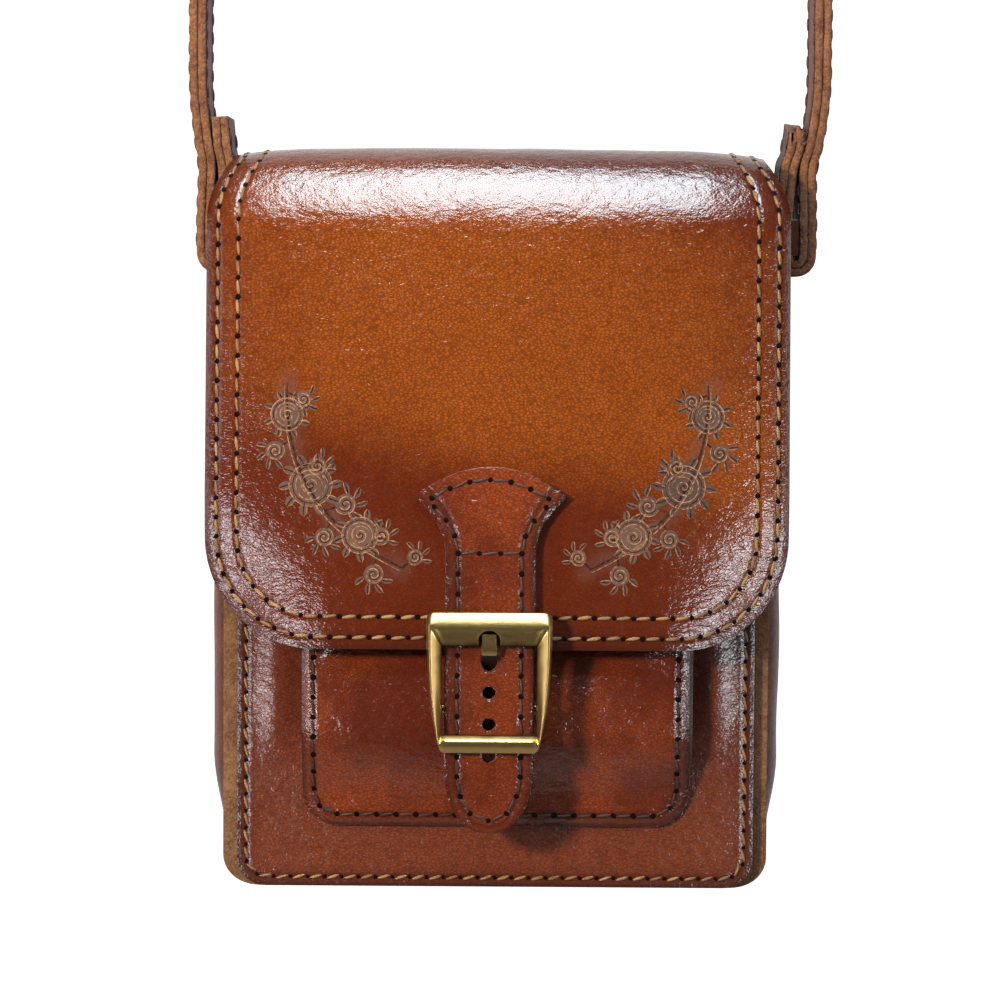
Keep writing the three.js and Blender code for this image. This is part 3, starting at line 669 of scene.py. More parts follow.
# Fastening strap
# Two layers of leather sewn together. The fan-shaped upper end is sewn on the flap, and the strap
# runs down through the buckle to its round tip. Three punched holes are left below the prong.
strap_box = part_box("fastening_strap")
fastener_x = (strap_box[0][0] + strap_box[1][0]) / 2 / mm
fastener_wall = 4.4
fastener_half = 12.0
fan_half = 20.4
fan_top = (strap_box[1][2] - ground) / mm
fan_tip = 110.0
fan_waist = 94.7
fastener_tip = (strap_box[0][2] - ground) / mm
tip_length = 17
tip_fullness = 0.85
tip_return = 2.5
over_flap = 72.3
heel_height = 52.0
heel_radius = 1.3
free_below_bar = 8
anchor_wall = 1.4
heel_front = pocket_face + 2 * seam_gap + anchor_wall + heel_radius
heel_strap_back = heel_front + heel_radius + 2 * seam_gap + anchor_wall
layer_gap = 0.1
hole_radius = 1.75
hole_pitch = 8.6
used_hole = 65.8
fastener_seam = 3.4


def fastener_back(z):
    """How far the strap's back face stands in front of the middle of the bag."""
    if z >= over_flap:
        return flap_front(z) + seam_gap
    if z >= heel_height:
        share = (over_flap - z) / (over_flap - heel_height)
        return mix(flap_front(over_flap) + seam_gap, heel_strap_back, share)
    free = heel_height - free_below_bar
    return heel_strap_back - tip_return * smooth((free - z) / (free - fastener_tip))


def fastener_rows():
    """Each row has a half width and the heights of its middle and of its ends."""
    rows = [(mix(fan_half, fastener_half, 1 - (1 - t) ** 2), mix(fan_top, fan_waist, t),
             mix(fan_tip, fan_waist, t)) for t in spread(0, 1, 18)]
    tip_start = fastener_tip + tip_length
    rows += [(fastener_half, z, z) for z in spread(fan_waist, tip_start, 44)[1:]]
    for a in spread(0, math.radians(83), 18)[1:]:
        z = mix(tip_start, fastener_tip, math.sin(a))
        rows.append((fastener_half * math.cos(a) ** tip_fullness, z, z))
    return rows


def fastener_skin(x, z):
    """A point of the strap's outer face at x from its own middle."""
    pad = 0.35 * (1 - (x / fastener_half) ** 2) + 0.3 * wavy(x, z, 7.7, 13)
    return fastener_x + x, -fastener_back(z) - fastener_wall - max(-0.3, pad), z


def fastener_rim(half, z, share):
    side = half * (1 - abs(share))
    ends = min(max(0.0, z - fastener_tip) * 0.8, (fan_top - z) * 0.9)
    if z >= 60:
        ends += half * abs(share) * 0.25
    return min(side, ends + side * 0.35)


def fastener_place(sunk, wider):
    def place(row, share):
        half, middle, ends = row
        z = mix(middle, ends, share ** 2)
        x, y, z = fastener_skin(share * half * wider, z)
        return (x + (wider - 1) * half * 0.6, y + sunk, z), {"rim": fastener_rim(half, z, share)}
    return place


def cut(piece, cutter, material_index):
    """Takes the cutter's solid out of the piece, whose earlier modifiers are made real."""
    for face in cutter.faces:
        face.material_index = material_index
    mesh = bpy.data.meshes.new("cutter")
    cutter.to_mesh(mesh)
    cutter.free()
    tool = bpy.data.objects.new("cutter", mesh)
    bpy.context.scene.collection.objects.link(tool)
    boolean = piece.modifiers.new("cut", "BOOLEAN")
    boolean.object = tool
    boolean.solver = "EXACT"
    boolean.use_self = True
    bpy.context.view_layer.update()
    done = bpy.data.meshes.new_from_object(piece.evaluated_get(bpy.context.evaluated_depsgraph_get()))
    piece.modifiers.clear()
    piece.data = done
    bpy.data.objects.remove(tool)
    bpy.data.meshes.remove(mesh)


def peg(bm, radius, x, y, z, depth, tall=1.0):
    """A pin through the strap from front to back, for cutting a hole."""
    turn = Matrix.Rotation(math.pi / 2, 4, "X")
    stretch = Matrix.Diagonal((1, 1, tall, 1))
    bmesh.ops.create_cone(bm, cap_ends=True, segments=28, radius1=radius * mm, radius2=radius * mm,
                          depth=depth * mm, matrix=Matrix.Translation(at(x, y, z)) @ stretch @ turn)


strap_edge = raw_leather("strap_edge", rgb(186, 128, 84), rgb(112, 62, 36))
for layer, sunk, wider in (("upper", 0.0, 1.0), ("lower", fastener_wall / 2 + layer_gap / 2, 1.02)):
    strap_layer = leather_sheet("fastening_strap_" + layer, fastener_rows(), 20,
                                fastener_place(sunk, wider), (fastener_wall - layer_gap) / 2,
                                [pocket_leather, strap_edge], "pocket_leather",
                                *(["fastening_strap"] if layer == "upper" else []),
                                facing=(0, -1, 0), rounding=0.5)
    pins = bmesh.new()
    for step in range(4):
        z = used_hole - step * hole_pitch
        peg(pins, hole_radius * (1.25 if step == 0 else 1.0), fastener_x, -fastener_back(z), z, 16,
            1.3 if step == 0 else 1.0)
    cut(strap_layer, pins, 1)

# Buckle
# A cast frame of antique brass with a heavy upper bar, tapering rails and a lower keeper bar. The
# heel bar lies behind the strap, and the prong comes through the strap's top hole.
buckle_top = 79.0
buckle_height = 37.8
top_bar = 9.0
bottom_bar = 4.8
top_half_width = 17.0
bottom_half_width = 13.9
window_half = fastener_half + 0.8
buckle_wall = 3.8
buckle_lift = seam_gap * 1.6
frame_corner = 2.2
prong_wall = 2.2
prong_half = 2.1
prong_tip = 73.2
prong_lit = 67.5
notch_half = 2.9
notch_top = 74.4
lug_wall = 1.3


def frame_back(z):
    """How far the frame's back plane stands in front of the middle of the bag."""
    high = buckle_top - top_bar / 2
    low = buckle_top - buckle_height + bottom_bar / 2
    behind = mix(fastener_back(low), fastener_back(high), (z - low) / (high - low))
    return behind + fastener_wall + buckle_lift


brass, brass_shader, brass_look = new_material("antique_brass")
brass_place = brass_look.node("TexCoord", out=3)
tarnish = brass_look.noise(brass_place, 150.0, 5.0)
drawn = brass_look.node("Mapping", {"Vector": brass_place, "Scale": (0.3, 1.0, 1.0)})
scratch = brass_look.noise(drawn, 2600.0, 4.0)
recess = brass_look.attribute("recess")
brass_dark = (recess + (tarnish - 0.5) * 0.7).ramp(0.2, 1.0)
brass_relief = scratch + tarnish * 2.0
connect(brass_look, brass_shader, Metallic=1.0,
        Base_Color=brass_look.blend(rgb(196, 160, 98), rgb(80, 58, 32), brass_dark),
        Roughness=brass_dark.ramp(0.0, 1.0, 0.3, 0.5) + (scratch - 0.5) * 0.12,
        Normal=brass_look.node("Bump", {"Height": brass_relief, "Strength": 0.16, "Distance": 0.00012}))

# A dark brass that is painted shade: on the prong below its lit tip and on the walls of the notch it lies in.
brass_shade, brass_shade_shader, brass_shade_look = new_material("painted_shade_brass")
connect(brass_shade_look, brass_shade_shader, Metallic=0.6, Base_Color=rgb(48, 34, 22), Roughness=0.6)


def frame_stations():
    """Pairs of an outer and an inner point (x, z) round the frame, with the crest's share of the
    bar's width from the outer edge and how deep the bar falls away inside the crest."""
    top = buckle_top
    bottom = buckle_top - buckle_height
    inner_top = top - top_bar
    inner_bottom = bottom + bottom_bar
    stations = []

    def side(outer, inner, crest, fall, steps):
        for t in spread(0, 1, steps)[:-1]:
            stations.append((bezier(outer, t), bezier(inner, t), crest, fall))

    def corner(centre, start, inner, crests, falls):
        for t in spread(0, 1, 6)[:-1]:
            a = math.radians(start - 90 * t)
            stations.append(((centre[0] + frame_corner * math.cos(a), centre[1] + frame_corner * math.sin(a)),
                             inner, mix(*crests, t), mix(*falls, t)))

    wide, narrow, c = top_half_width, bottom_half_width, frame_corner
    tops, rails, bottoms = (0.5, 0.3), (0.22, 0.5), (0.68, 0.42)
    side([(-wide + c, top), (wide - c, top)],
         [(-window_half, inner_top), (window_half, inner_top)], *tops, 24)
    corner((wide - c, top - c), 90, (window_half, inner_top), (tops[0], rails[0]), (tops[1], rails[1]))
    side([(wide, top - c), (wide, inner_top - 4), (wide - 0.4, bottom + 16), (narrow, bottom + c)],
         [(window_half, inner_top), (window_half, inner_bottom)], *rails, 26)
    corner((narrow - c, bottom + c), 0, (window_half, inner_bottom),
           (rails[0], bottoms[0]), (rails[1], bottoms[1]))
    side([(narrow - c, bottom), (-narrow + c, bottom)],
         [(window_half, inner_bottom), (-window_half, inner_bottom)], *bottoms, 20)
    corner((-narrow + c, bottom + c), -90, (-window_half, inner_bottom),
           (bottoms[0], rails[0]), (bottoms[1], rails[1]))
    side([(-narrow, bottom + c), (-wide + 0.4, bottom + 16), (-wide, inner_top - 4), (-wide, top - c)],
         [(-window_half, inner_bottom), (-window_half, inner_top)], *rails, 26)
    corner((-wide + c, top - c), 180, (-window_half, inner_top), (rails[0], tops[0]), (rails[1], tops[1]))
    return stations


def frame_ring(crest, fall):
    """The bar's section as (share of its width, height, darkness), round from back to back."""
    ring = [(0.0, 0.0, 0.7), (0.0, 0.5, 0.5), (0.02, 0.62, 0.2)]
    for t in spread(0, 1, 7):
        u = 0.02 + (crest - 0.02) * t
        ring.append((u, 0.62 + 0.38 * math.sin(t * math.pi / 2), 0.35 * (1 - t)))
    for t in spread(0, 1, 6)[1:]:
        ring.append((mix(crest, 0.95, t), 1 - fall * t ** 1.4, 0.15 + 0.6 * t))
    return ring + [(1.0, 0.9 - fall, 1.0), (1.0, 0.0, 1.0), (0.5, 0.0, 1.0)]


def buckle_frame():
    stations = frame_stations()
    rings = [frame_ring(crest, fall) for _, _, crest, fall in stations]
    bm = bmesh.new()
    rows, columns = len(stations), len(rings[0])
    bmesh.ops.create_grid(bm, x_segments=columns, y_segments=rows, size=0.5)
    layer = bm.verts.layers.float.new("recess")
    for vert in bm.verts:
        row = round((vert.co.y + 0.5) * rows) % rows
        share, height, dark = rings[row][round((vert.co.x + 0.5) * columns) % columns]
        outer, inner = stations[row][:2]
        x, z = mix(outer[0], inner[0], share), mix(outer[1], inner[1], share)
        vert.co = at(fastener_x + x, -frame_back(z) - height * buckle_wall, z)
        vert[layer] = dark
    bmesh.ops.remove_doubles(bm, verts=bm.verts, dist=0.01 * mm)
    bmesh.ops.recalc_face_normals(bm, faces=bm.faces)
    return bm


def rod(bm, radius, half, y, z, segments=24, start=0.0):
    """A bar along x through the strap's middle."""
    place = Matrix.Translation(at(start, y, z)) @ Matrix.Rotation(math.pi / 2, 4, "Y")
    bmesh.ops.create_cone(bm, cap_ends=True, segments=segments, radius1=radius * mm, radius2=radius * mm,
                          depth=2 * half * mm, matrix=place)


frame_piece = finish_mesh(buckle_frame(), "buckle_frame_cast", [brass, brass_shade], "antique_brass",
                          "buckle_frame")
notch_floor = frame_back(buckle_top - top_bar / 2) + buckle_wall - prong_wall - seam_gap
notch = bmesh.new()
notch_round = notch_top - notch_half
notch_end = buckle_top - top_bar - 4
bmesh.ops.create_cube(notch, size=1.0, matrix=Matrix.Translation(
    at(fastener_x, -notch_floor - 5, (notch_round + notch_end) / 2))
    @ Matrix.Diagonal((2 * notch_half * mm, 10 * mm, (notch_round - notch_end) * mm, 1)))
peg(notch, notch_half, fastener_x, -notch_floor - 5, notch_round, 10)
# The notch's walls take the dark brass as painted shade in the notch.
cut(frame_piece, notch, 1)
heel = bmesh.new()
rod(heel, heel_radius, window_half + lug_wall / 2, -heel_front, heel_height, start=fastener_x)
for side in (-1, 1):
    front, back = frame_back(heel_height) + 1.9, heel_front - heel_radius
    bmesh.ops.create_cube(heel, size=1.0, matrix=Matrix.Translation(
        at(fastener_x + side * (window_half + lug_wall / 2), -(front + back) / 2, heel_height))
        @ Matrix.Diagonal((lug_wall * mm, (front - back) * mm, 2 * (heel_radius + 1) * mm, 1)))
heel_piece = finish_mesh(heel, "buckle_heel_bar", [brass], "antique_brass")
round_edges(heel_piece, 0.3)


def ribbon(bm, line, wall, low, high, place, face_steps=10, rough=0.0, corner=0.0):
    """A strip whose centre line is in a plane and which runs from low to high across it. Its long
    faces carry material 0 on the left of the line and 1 on the right, its edges and ends 2."""
    half = wall / 2
    sides = spread(-1, 1, face_steps)
    ring = [(-half, share, 0) for share in sides] + [(half * t, 1.0, 2) for t in (-0.5, 0.0, 0.5)]
    ring += [(half, share, 1) for share in reversed(sides)] + [(half * t, -1.0, 2) for t in (0.5, 0.0, -0.5)]
    normals = normals_of(line)
    count = len(ring)
    middle, reach = (low + high) / 2, (high - low) / 2
    rim = bm.verts.layers.float.get("rim") or bm.verts.layers.float.new("rim")
    made = bmesh.ops.create_grid(bm, x_segments=count, y_segments=len(line) - 1, size=0.5)["verts"]
    kinds = {}
    for vert in made:
        row = round((vert.co.y + 0.5) * (len(line) - 1))
        off, share, kinds[vert] = ring[round((vert.co.x + 0.5) * count) % count]
        a = line[row][0] - normals[row][0] * off
        b = line[row][1] - normals[row][1] * off
        c = middle + share * reach
        if abs(share) == 1:
            c += share * (rough * wavy(a + b, off * 3, 9.0 + low, 1.1) - corner * (abs(off) / half) ** 4)
        vert.co = at(*place(a, b, c))
        vert[rim] = (1 - abs(share)) * reach
    for face in {face for vert in made for face in vert.link_faces}:
        found = {kinds[vert] for vert in face.verts}
        face.material_index = found.pop() if len(found) == 1 else 2
    bmesh.ops.remove_doubles(bm, verts=made, dist=0.004 * mm)
    caps = bmesh.ops.holes_fill(bm, edges=[edge for edge in bm.edges if edge.is_boundary], sides=0)
    for face in caps["faces"]:
        face.material_index = 2


def through_points(points, step):
    """A smooth line through the points, with places about step millimetres apart."""
    line = []
    for i in range(len(points) - 1):
        p0, p1 = points[max(0, i - 1)], points[i]
        p2, p3 = points[i + 1], points[min(len(points) - 1, i + 2)]
        count = max(1, round(math.dist(p1, p2) / step))
        for t in spread(0, 1, count)[:-1]:
            line.append(tuple(0.5 * (2 * b + (c - a) * t + (2 * a - 5 * b + 4 * c - d) * t * t
                                     + (3 * b - a - 3 * c + d) * t ** 3)
                              for a, b, c, d in zip(p0, p1, p2, p3)))
    return line + [tuple(points[-1])]


prong_seat = frame_back(buckle_top - top_bar / 2) + buckle_wall - prong_wall / 2
prong_bend = heel_height + 7
prong_through = fastener_back(used_hole) + fastener_wall / 2
prong_behind = fastener_back(prong_bend) - seam_gap - prong_wall / 2
prong_line = through_points([
    (-heel_front, heel_height + heel_radius + seam_gap + 0.6), (-prong_behind, prong_bend),
    (-mix(prong_behind, prong_through, 0.4), used_hole - 2.9), (-prong_through, used_hole - 0.6),
    (-mix(prong_through, prong_seat, 0.75), used_hole + 1.8), (-prong_seat, mix(used_hole, prong_tip, 0.62)),
    (-prong_seat + 0.1, prong_tip)], 0.6)
prong = bmesh.new()
ribbon(prong, prong_line, prong_wall, -prong_half, prong_half, lambda y, z, x: (fastener_x + x, y, z),
       corner=0.25)
# Below its lit tip the prong takes the dark brass as painted shade.
for face in prong.faces:
    face.material_index = 1 if face.calc_center_median().z < ground + prong_lit * mm else 0
rod(prong, heel_radius + seam_gap + 1.2, prong_half, -heel_front, heel_height, start=fastener_x)
prong_piece = finish_mesh(prong, "buckle_prong_cast", [brass, brass_shade], "antique_brass", "buckle_prong")
bore = bmesh.new()
rod(bore, heel_radius + seam_gap, 2 * prong_half, -heel_front, heel_height, start=fastener_x)
cut(prong_piece, bore, 0)
round_edges(prong_piece, 0.35)

# Buckle tab
# A strip of leather folded round the heel bar and sewn to the pocket, hidden behind the strap. A
# slot in its fold leaves room for the prong.
tab_half = 10.0
tab_end = 29.0
tab_neck = 5
tab_loop = heel_radius + seam_gap + anchor_wall / 2


def on_pocket(z):
    return -(pocket_front(fastener_x, z) + seam_gap + anchor_wall / 2)


tab_line = [(on_pocket(z), z) for z in spread(tab_end, heel_height - tab_neck, 6)]
tab_line += [(-heel_front + tab_loop * math.cos(a), heel_height + tab_loop * math.sin(a))
             for a in spread(0, math.pi, 14)]
tab_line += [(on_pocket(z) - anchor_wall - seam_gap / 2 - smooth((z - tab_end - 10) / 4), z)
             for z in spread(heel_height - tab_neck, tab_end, 10)]
tab = bmesh.new()
ribbon(tab, tab_line, anchor_wall, -tab_half, tab_half, lambda y, z, x: (fastener_x + x, y, z), rough=0.3)
tab_piece = finish_mesh(tab, "buckle_tab", [side_leather, flesh_side, cut_edge], "gusset_leather",
                        "buckle_anchor")
slot = bmesh.new()
bmesh.ops.create_cube(slot, size=1.0, matrix=Matrix.Translation(
    at(fastener_x, -heel_front, heel_height + tab_loop))
    @ Matrix.Diagonal((2 * (prong_half + seam_gap) * mm, 6 * tab_loop * mm, 4.4 * tab_loop * mm, 1)))
cut(tab_piece, slot, 2)

# Shoulder strap
# A 26 mm strap of two sewn layers with rough, unpainted edges. It goes over the shoulder, comes
# down outside the bag, folds under and ends upwards between its own long run and the side strip.
strap_half = 13.0
strap_wall = 4.6
bridge_wall = 1.4
bridge_bottom = 175.6
bridge_height = 10.0
bridge_foot = 4.2
bridge_clearance = 0.7
strap_end = 213.0
strap_join = 201.0
strap_free = 222.0
strap_drop = 345.0
shoulder_reach = 150.0
crown_reach = 66.0
strap_lean = {-1: 2.6, 1: 3.8}
strap_flare = {-1: 1.2, 1: 1.5}


def strap_places(side):
    inner = panel_half + top_bulge[side] + gusset_wall / 2 + seam_gap + strap_wall / 2
    bridge = inner + strap_wall / 2 + seam_gap + bridge_wall / 2
    return inner, bridge, bridge + bridge_wall / 2 + seam_gap + strap_wall / 2


def strap_line(side):
    """Points (x, z) from the folded-back end round the fold and up to the crown."""
    inner, _, outer = strap_places(side)
    lean, flare = strap_lean[side], strap_flare[side]
    radius = (outer - inner) / 2
    fold = bridge_bottom - seam_gap
    above = bridge_bottom + bridge_height
    joined = inner + strap_wall + seam_gap
    low = [(inner + lean, strap_end), (inner + lean * 0.75, strap_join + 4),
           (inner + lean * 0.3, strap_join - 2), (inner, above)]
    low += [(inner + radius + radius * math.cos(a), fold + radius * math.sin(a))
            for a in spread(math.pi, 2 * math.pi, 12)]
    low += [(outer, above), (mix(outer, joined + lean * 0.4, 0.8), strap_join - 2),
            (joined + lean * 0.8, strap_join + 4), (joined + lean + flare * 0.4, strap_end)]
    start = (joined + lean + flare, strap_free)
    crown = bag_height + strap_drop + strap_wall / 2
    bow = [start, (start[0] + flare, strap_free + shoulder_reach), (crown_reach, crown), (0, crown)]
    curve = [bezier(bow, t) for t in spread(0, 1, 60)]
    return through_points(low + curve[:2], 1.3)[:-1] + curve[1:]


def strap_side(side):
    return [(side * x, z) for x, z in strap_line(side)]


strap_seam = 3.2
strap_leather = leather("strap_leather", rgb(132, 70, 36), rgb(92, 46, 24), rgb(70, 34, 20), gloss=0.5,
                        seams=(strap_seam,), shine=0.1)
shoulder_line = strap_side(-1) + strap_side(1)[::-1][1:]
end_skew = 3.0
skew_reach = 86
edge_trim = 0.4


def strap_point(x, z, y):
    """Both folded-back ends are cut a little askew, lower in front."""
    skewed = x > 0 and z > strap_end - 2 and abs(x) < skew_reach
    return x, y, z + (end_skew * y / strap_half - end_skew if skewed else 0.0)


shoulder = bmesh.new()
shoulder_normals = normals_of(shoulder_line)
for layer_side in (-1, 1):
    shift = layer_side * (strap_wall + layer_gap) / 4
    layer_line = [(p[0] + n[0] * shift, p[1] + n[1] * shift) for p, n in zip(shoulder_line, shoulder_normals)]
    ribbon(shoulder, layer_line, (strap_wall - layer_gap) / 2, -strap_half + edge_trim,
           strap_half - edge_trim, strap_point, rough=0.55, corner=0.35)
finish_mesh(shoulder, "shoulder_strap_layers", [strap_leather, strap_leather, strap_edge], "strap_leather",
            "shoulder_strap")

# Strap bridges
# A thin leather bridge on each side is sewn to the side strip and holds the strap's fold.
for side, side_name in ((-1, "left"), (1, "right")):
    inside = strap_half + bridge_clearance
    bridge_face = strap_places(side)[1]
    web_out = panel_half + top_bulge[side] + gusset_wall / 2 + seam_gap + bridge_wall / 2
    foot = [(web_out - 2.0, inside + bridge_foot), (web_out - 1.2, inside + 2),
            (bridge_face - 1.2, inside + 0.7), (bridge_face, inside - 0.7)]
    bridge_line = through_points(foot + [(x, -y) for x, y in reversed(foot)], 0.8)
    bridge = bmesh.new()
    ribbon(bridge, bridge_line, bridge_wall, bridge_bottom, bridge_bottom + bridge_height,
           lambda x, y, z: (side * x, y, z), rough=0.25, corner=0.2)
    finish_mesh(bridge, "strap_bridge_cut_" + side_name, [strap_leather, strap_leather, strap_edge],
                "strap_leather", "strap_bridge_" + side_name)

# Stitches
# Thick waxed thread in saddle stitch through awl holes: golden tan on the flap and the front seam,
# dark brown on the pocket, the fastening strap and the shoulder strap. Each seam is one piece.
thread_pitch = 5.3
thread_girth = 1.05
hole_width = 1.5
hole_rise = 0.14


def thread(name, light, dark):
    """Waxed thread. The attribute shade differs from stitch to stitch."""
    material, shader, look = new_material(name)
    place = look.node("TexCoord", out=3)
    strands = look.node("TexWave", {"Vector": place, "Scale": 950.0, "Distortion": 1.5},
                        {"bands_direction": "DIAGONAL"}, out=1)
    amount = strands * 0.5 + look.attribute("shade") * 0.5 + (look.noise(place, 600.0) - 0.5) * 0.6
    connect(look, shader, Base_Color=look.blend(dark, light, amount.ramp(0.0, 1.0)), Roughness=0.5,
            Normal=look.node("Bump", {"Height": strands, "Strength": 0.6, "Distance": 0.0002}))
    return material


tan_thread = thread("tan_thread", rgb(206, 158, 92), rgb(134, 82, 40))
brown_thread = thread("brown_thread", rgb(104, 58, 32), rgb(44, 20, 12))
# Each awl hole is a flat dark disc laid on the leather: painted shade standing for the hole.
painted_hole_shade, awl_shader, awl_look = new_material("painted_hole_shade")
connect(awl_look, awl_shader, Base_Color=rgb(16, 8, 6), Roughness=0.9, Specular_IOR_Level=0.1)


def on_skin(skin, u, v, facing):
    """A point of a surface given by two numbers, and its normal on the side that facing names."""
    here = Vector(skin(u, v))
    normal = (Vector(skin(u + 0.4, v)) - Vector(skin(u - 0.4, v))).cross(
        Vector(skin(u, v + 0.4)) - Vector(skin(u, v - 0.4))).normalized()
    return here, -normal if normal.dot(Vector(facing)) < 0 else normal


def seam_track(half, bottom, top, radius, inset, width_at=None):
    """Places (u, v) down the left side, round the bottom and up the right side, inset from the
    edge."""
    width_at = width_at or (lambda v: half)
    left = [(-(width_at(v) - inset), v) for v in spread(top, bottom + radius, 90)]
    bend = radius - inset
    arc = [(radius - half - bend * math.cos(a), bottom + radius - bend * math.sin(a))
           for a in spread(0, math.pi / 2, 16)]
    base = [(u, bottom + inset) for u in spread(-(half - radius), half - radius, 60)]
    path = left + arc[1:] + base[1:-1]
    return path + [(-u, v) for u, v in reversed(left + arc[1:])]


def stitch_places(track, pitch):
    """Places at equal distances along the track, the first and the last at its ends."""
    length = [0.0]
    for (before, _), (after, _) in zip(track, track[1:]):
        length.append(length[-1] + (after - before).length)
    count = max(1, round(length[-1] / pitch))
    places, i = [], 0
    for goal in spread(0.0, length[-1], count):
        while i < len(track) - 2 and length[i + 1] < goal:
            i += 1
        t = (goal - length[i]) / max(1e-6, length[i + 1] - length[i])
        (here, out), (there, out_there) = track[i:i + 2]
        places.append((here.lerp(there, t), out.lerp(out_there, t).normalized()))
    return places


def unit_ball(around, up):
    """The points and the faces of a ball whose poles lie on the X axis."""
    bm = bmesh.new()
    bmesh.ops.create_uvsphere(bm, u_segments=around, v_segments=up, radius=1.0,
                              matrix=Matrix.Rotation(math.pi / 2, 4, "Y"))
    ball = [vert.co.copy() for vert in bm.verts], [[vert.index for vert in face.verts] for face in bm.faces]
    bm.free()
    return ball


def copies(name, shapes, materials, slot):
    """One piece of many copies. Each shape is its points and faces, the turns of its copies, a
    shade for each copy and the material's place."""
    points, faces, shades, kinds = [], [], [], []
    for (ball, ball_faces), turns, tints, kind in shapes:
        for turn, tint in zip(turns, tints):
            start = len(points)
            points += [turn @ point for point in ball]
            faces += [[start + i for i in face] for face in ball_faces]
            shades += [tint] * len(ball)
            kinds += [kind] * len(ball_faces)
    mesh = bpy.data.meshes.new(name)
    mesh.from_pydata(points, [], faces)
    mesh.attributes.new("shade", "FLOAT", "POINT").data.foreach_set("value", shades)
    mesh.polygons.foreach_set("material_index", kinds)
    bm = bmesh.new()
    bm.from_mesh(mesh)
    bpy.data.meshes.remove(mesh)
    return finish_mesh(bm, name, materials, slot)


stitch_ball = unit_ball(8, 7)
hole_ball = unit_ball(8, 6)


def placed(place, across, size):
    """A turn from three directions, with the sizes along them in millimetres."""
    turn = Matrix(across).transposed().to_4x4()
    return Matrix.Translation(at(*place)) @ turn @ Matrix.Diagonal((*(length * mm for length in size), 1))


def sew(name, tracks, material, slot, pitch=thread_pitch, girth=thread_girth, hole=hole_width, slant=0.12):
    """Makes the stitches of a seam and, for its holes, flat dark discs of painted shade, from tracks of
    (point, normal).
    """
    draw = random.Random(name)
    stitches, holes = [], []
    for track in tracks:
        places = stitch_places(track, pitch)
        for (a, normal_a), (b, normal_b) in zip(places, places[1:]):
            up = (normal_a + normal_b).normalized()
            way = (b - a).normalized()
            way = (way + up.cross(way).normalized() * (slant + draw.uniform(-0.06, 0.06))).normalized()
            across = up.cross(way).normalized()
            centre = (a + b) / 2 + up * (0.12 + draw.uniform(-0.08, 0.06)) + across * draw.uniform(-0.1, 0.1)
            stitches.append(placed(centre, (way, across, up), ((b - a).length * 0.37,
                                   girth / 2 * draw.uniform(0.9, 1.1), girth * 0.42)))
        for place, normal in places:
            across = normal.orthogonal().normalized()
            size = (hole / 2 * draw.uniform(0.85, 1.1), hole / 2 * draw.uniform(0.85, 1.1), hole_rise)
            holes.append(placed(place, (across, normal.cross(across), normal), size))
    copies(name, [(stitch_ball, stitches, [draw.random() for _ in stitches], 0),
                  (hole_ball, holes, [0.0] * len(holes), 1)], [material, painted_hole_shade], slot)


def hide_rows_near(from_end):
    """The hide's rows below and above a distance from the flap's lower edge, and the share."""
    rows = hide_rows_made
    i = next((i for i in range(len(rows) - 2, 0, -1) if rows[i][7] > from_end), 0)
    low, high = rows[i + 1], rows[i]
    return low, high, (from_end - low[7]) / (high[7] - low[7])


def hide_skin(x, from_end):
    """A point of the hide's outer face at x and at a distance from the flap's lower edge."""
    low, high, t = hide_rows_near(from_end)
    return tuple(mix(a, b, t) for a, b in zip(hide_point(low, x), hide_point(high, x)))


def hide_width(from_end):
    low, high, t = hide_rows_near(from_end)
    return mix(low[5], high[5], t)


seam_end_from_base = 190
turn_over = 12
flap_length = hide_rows_made[0][7] - seam_end_from_base
flap_tracks = []
for inset in hide_seams:
    path = seam_track(flap_half, 0, flap_length, flap_corner, inset, width_at=hide_width)
    flap_tracks.append([on_skin(hide_skin, u, v, (0, -1, 0.6) if v < flap_length - turn_over else (0, 1, 1))
                        for u, v in path])
sew("flap_stitches", flap_tracks, tan_thread, "flap_leather")

back_track = seam_track(panel_half, seam_setback, bag_height - 26, panel_corner, panel_seam)
sew("back_stitches", [[(Vector((u, back_face, v)), Vector((0, 1, 0))) for u, v in back_track]],
    tan_thread, "flap_leather", pitch=4.7, girth=0.9, hole=1.2)

panel_track = seam_track(panel_half, seam_setback, panel_top - 2, panel_corner, panel_seam)
sew("panel_stitches", [[on_skin(panel_skin, u, v, (0, -1, 0)) for u, v in panel_track]],
    tan_thread, "panel_leather", pitch=4.7, girth=0.85, hole=1.2, slant=0.3)

pocket_track = seam_track(pocket_half, pocket_bottom, pocket_top - 2, pocket_corner, pocket_seam)
sew("pocket_stitches", [[on_skin(pocket_skin, u, v, (0, -1, 0)) for u, v in pocket_track]],
    brown_thread, "pocket_leather", pitch=5.4, girth=0.85, hole=1.6)


def strap_track(points):
    return [on_skin(fastener_skin, x, z, (0, -1, 0)) for x, z in points]


def fan_edge(t, inset):
    half = mix(fan_half, fastener_half, 1 - (1 - t) ** 2) - inset
    return half, mix(fan_tip, fan_waist, t) - inset * 0.35 * (1 - t)


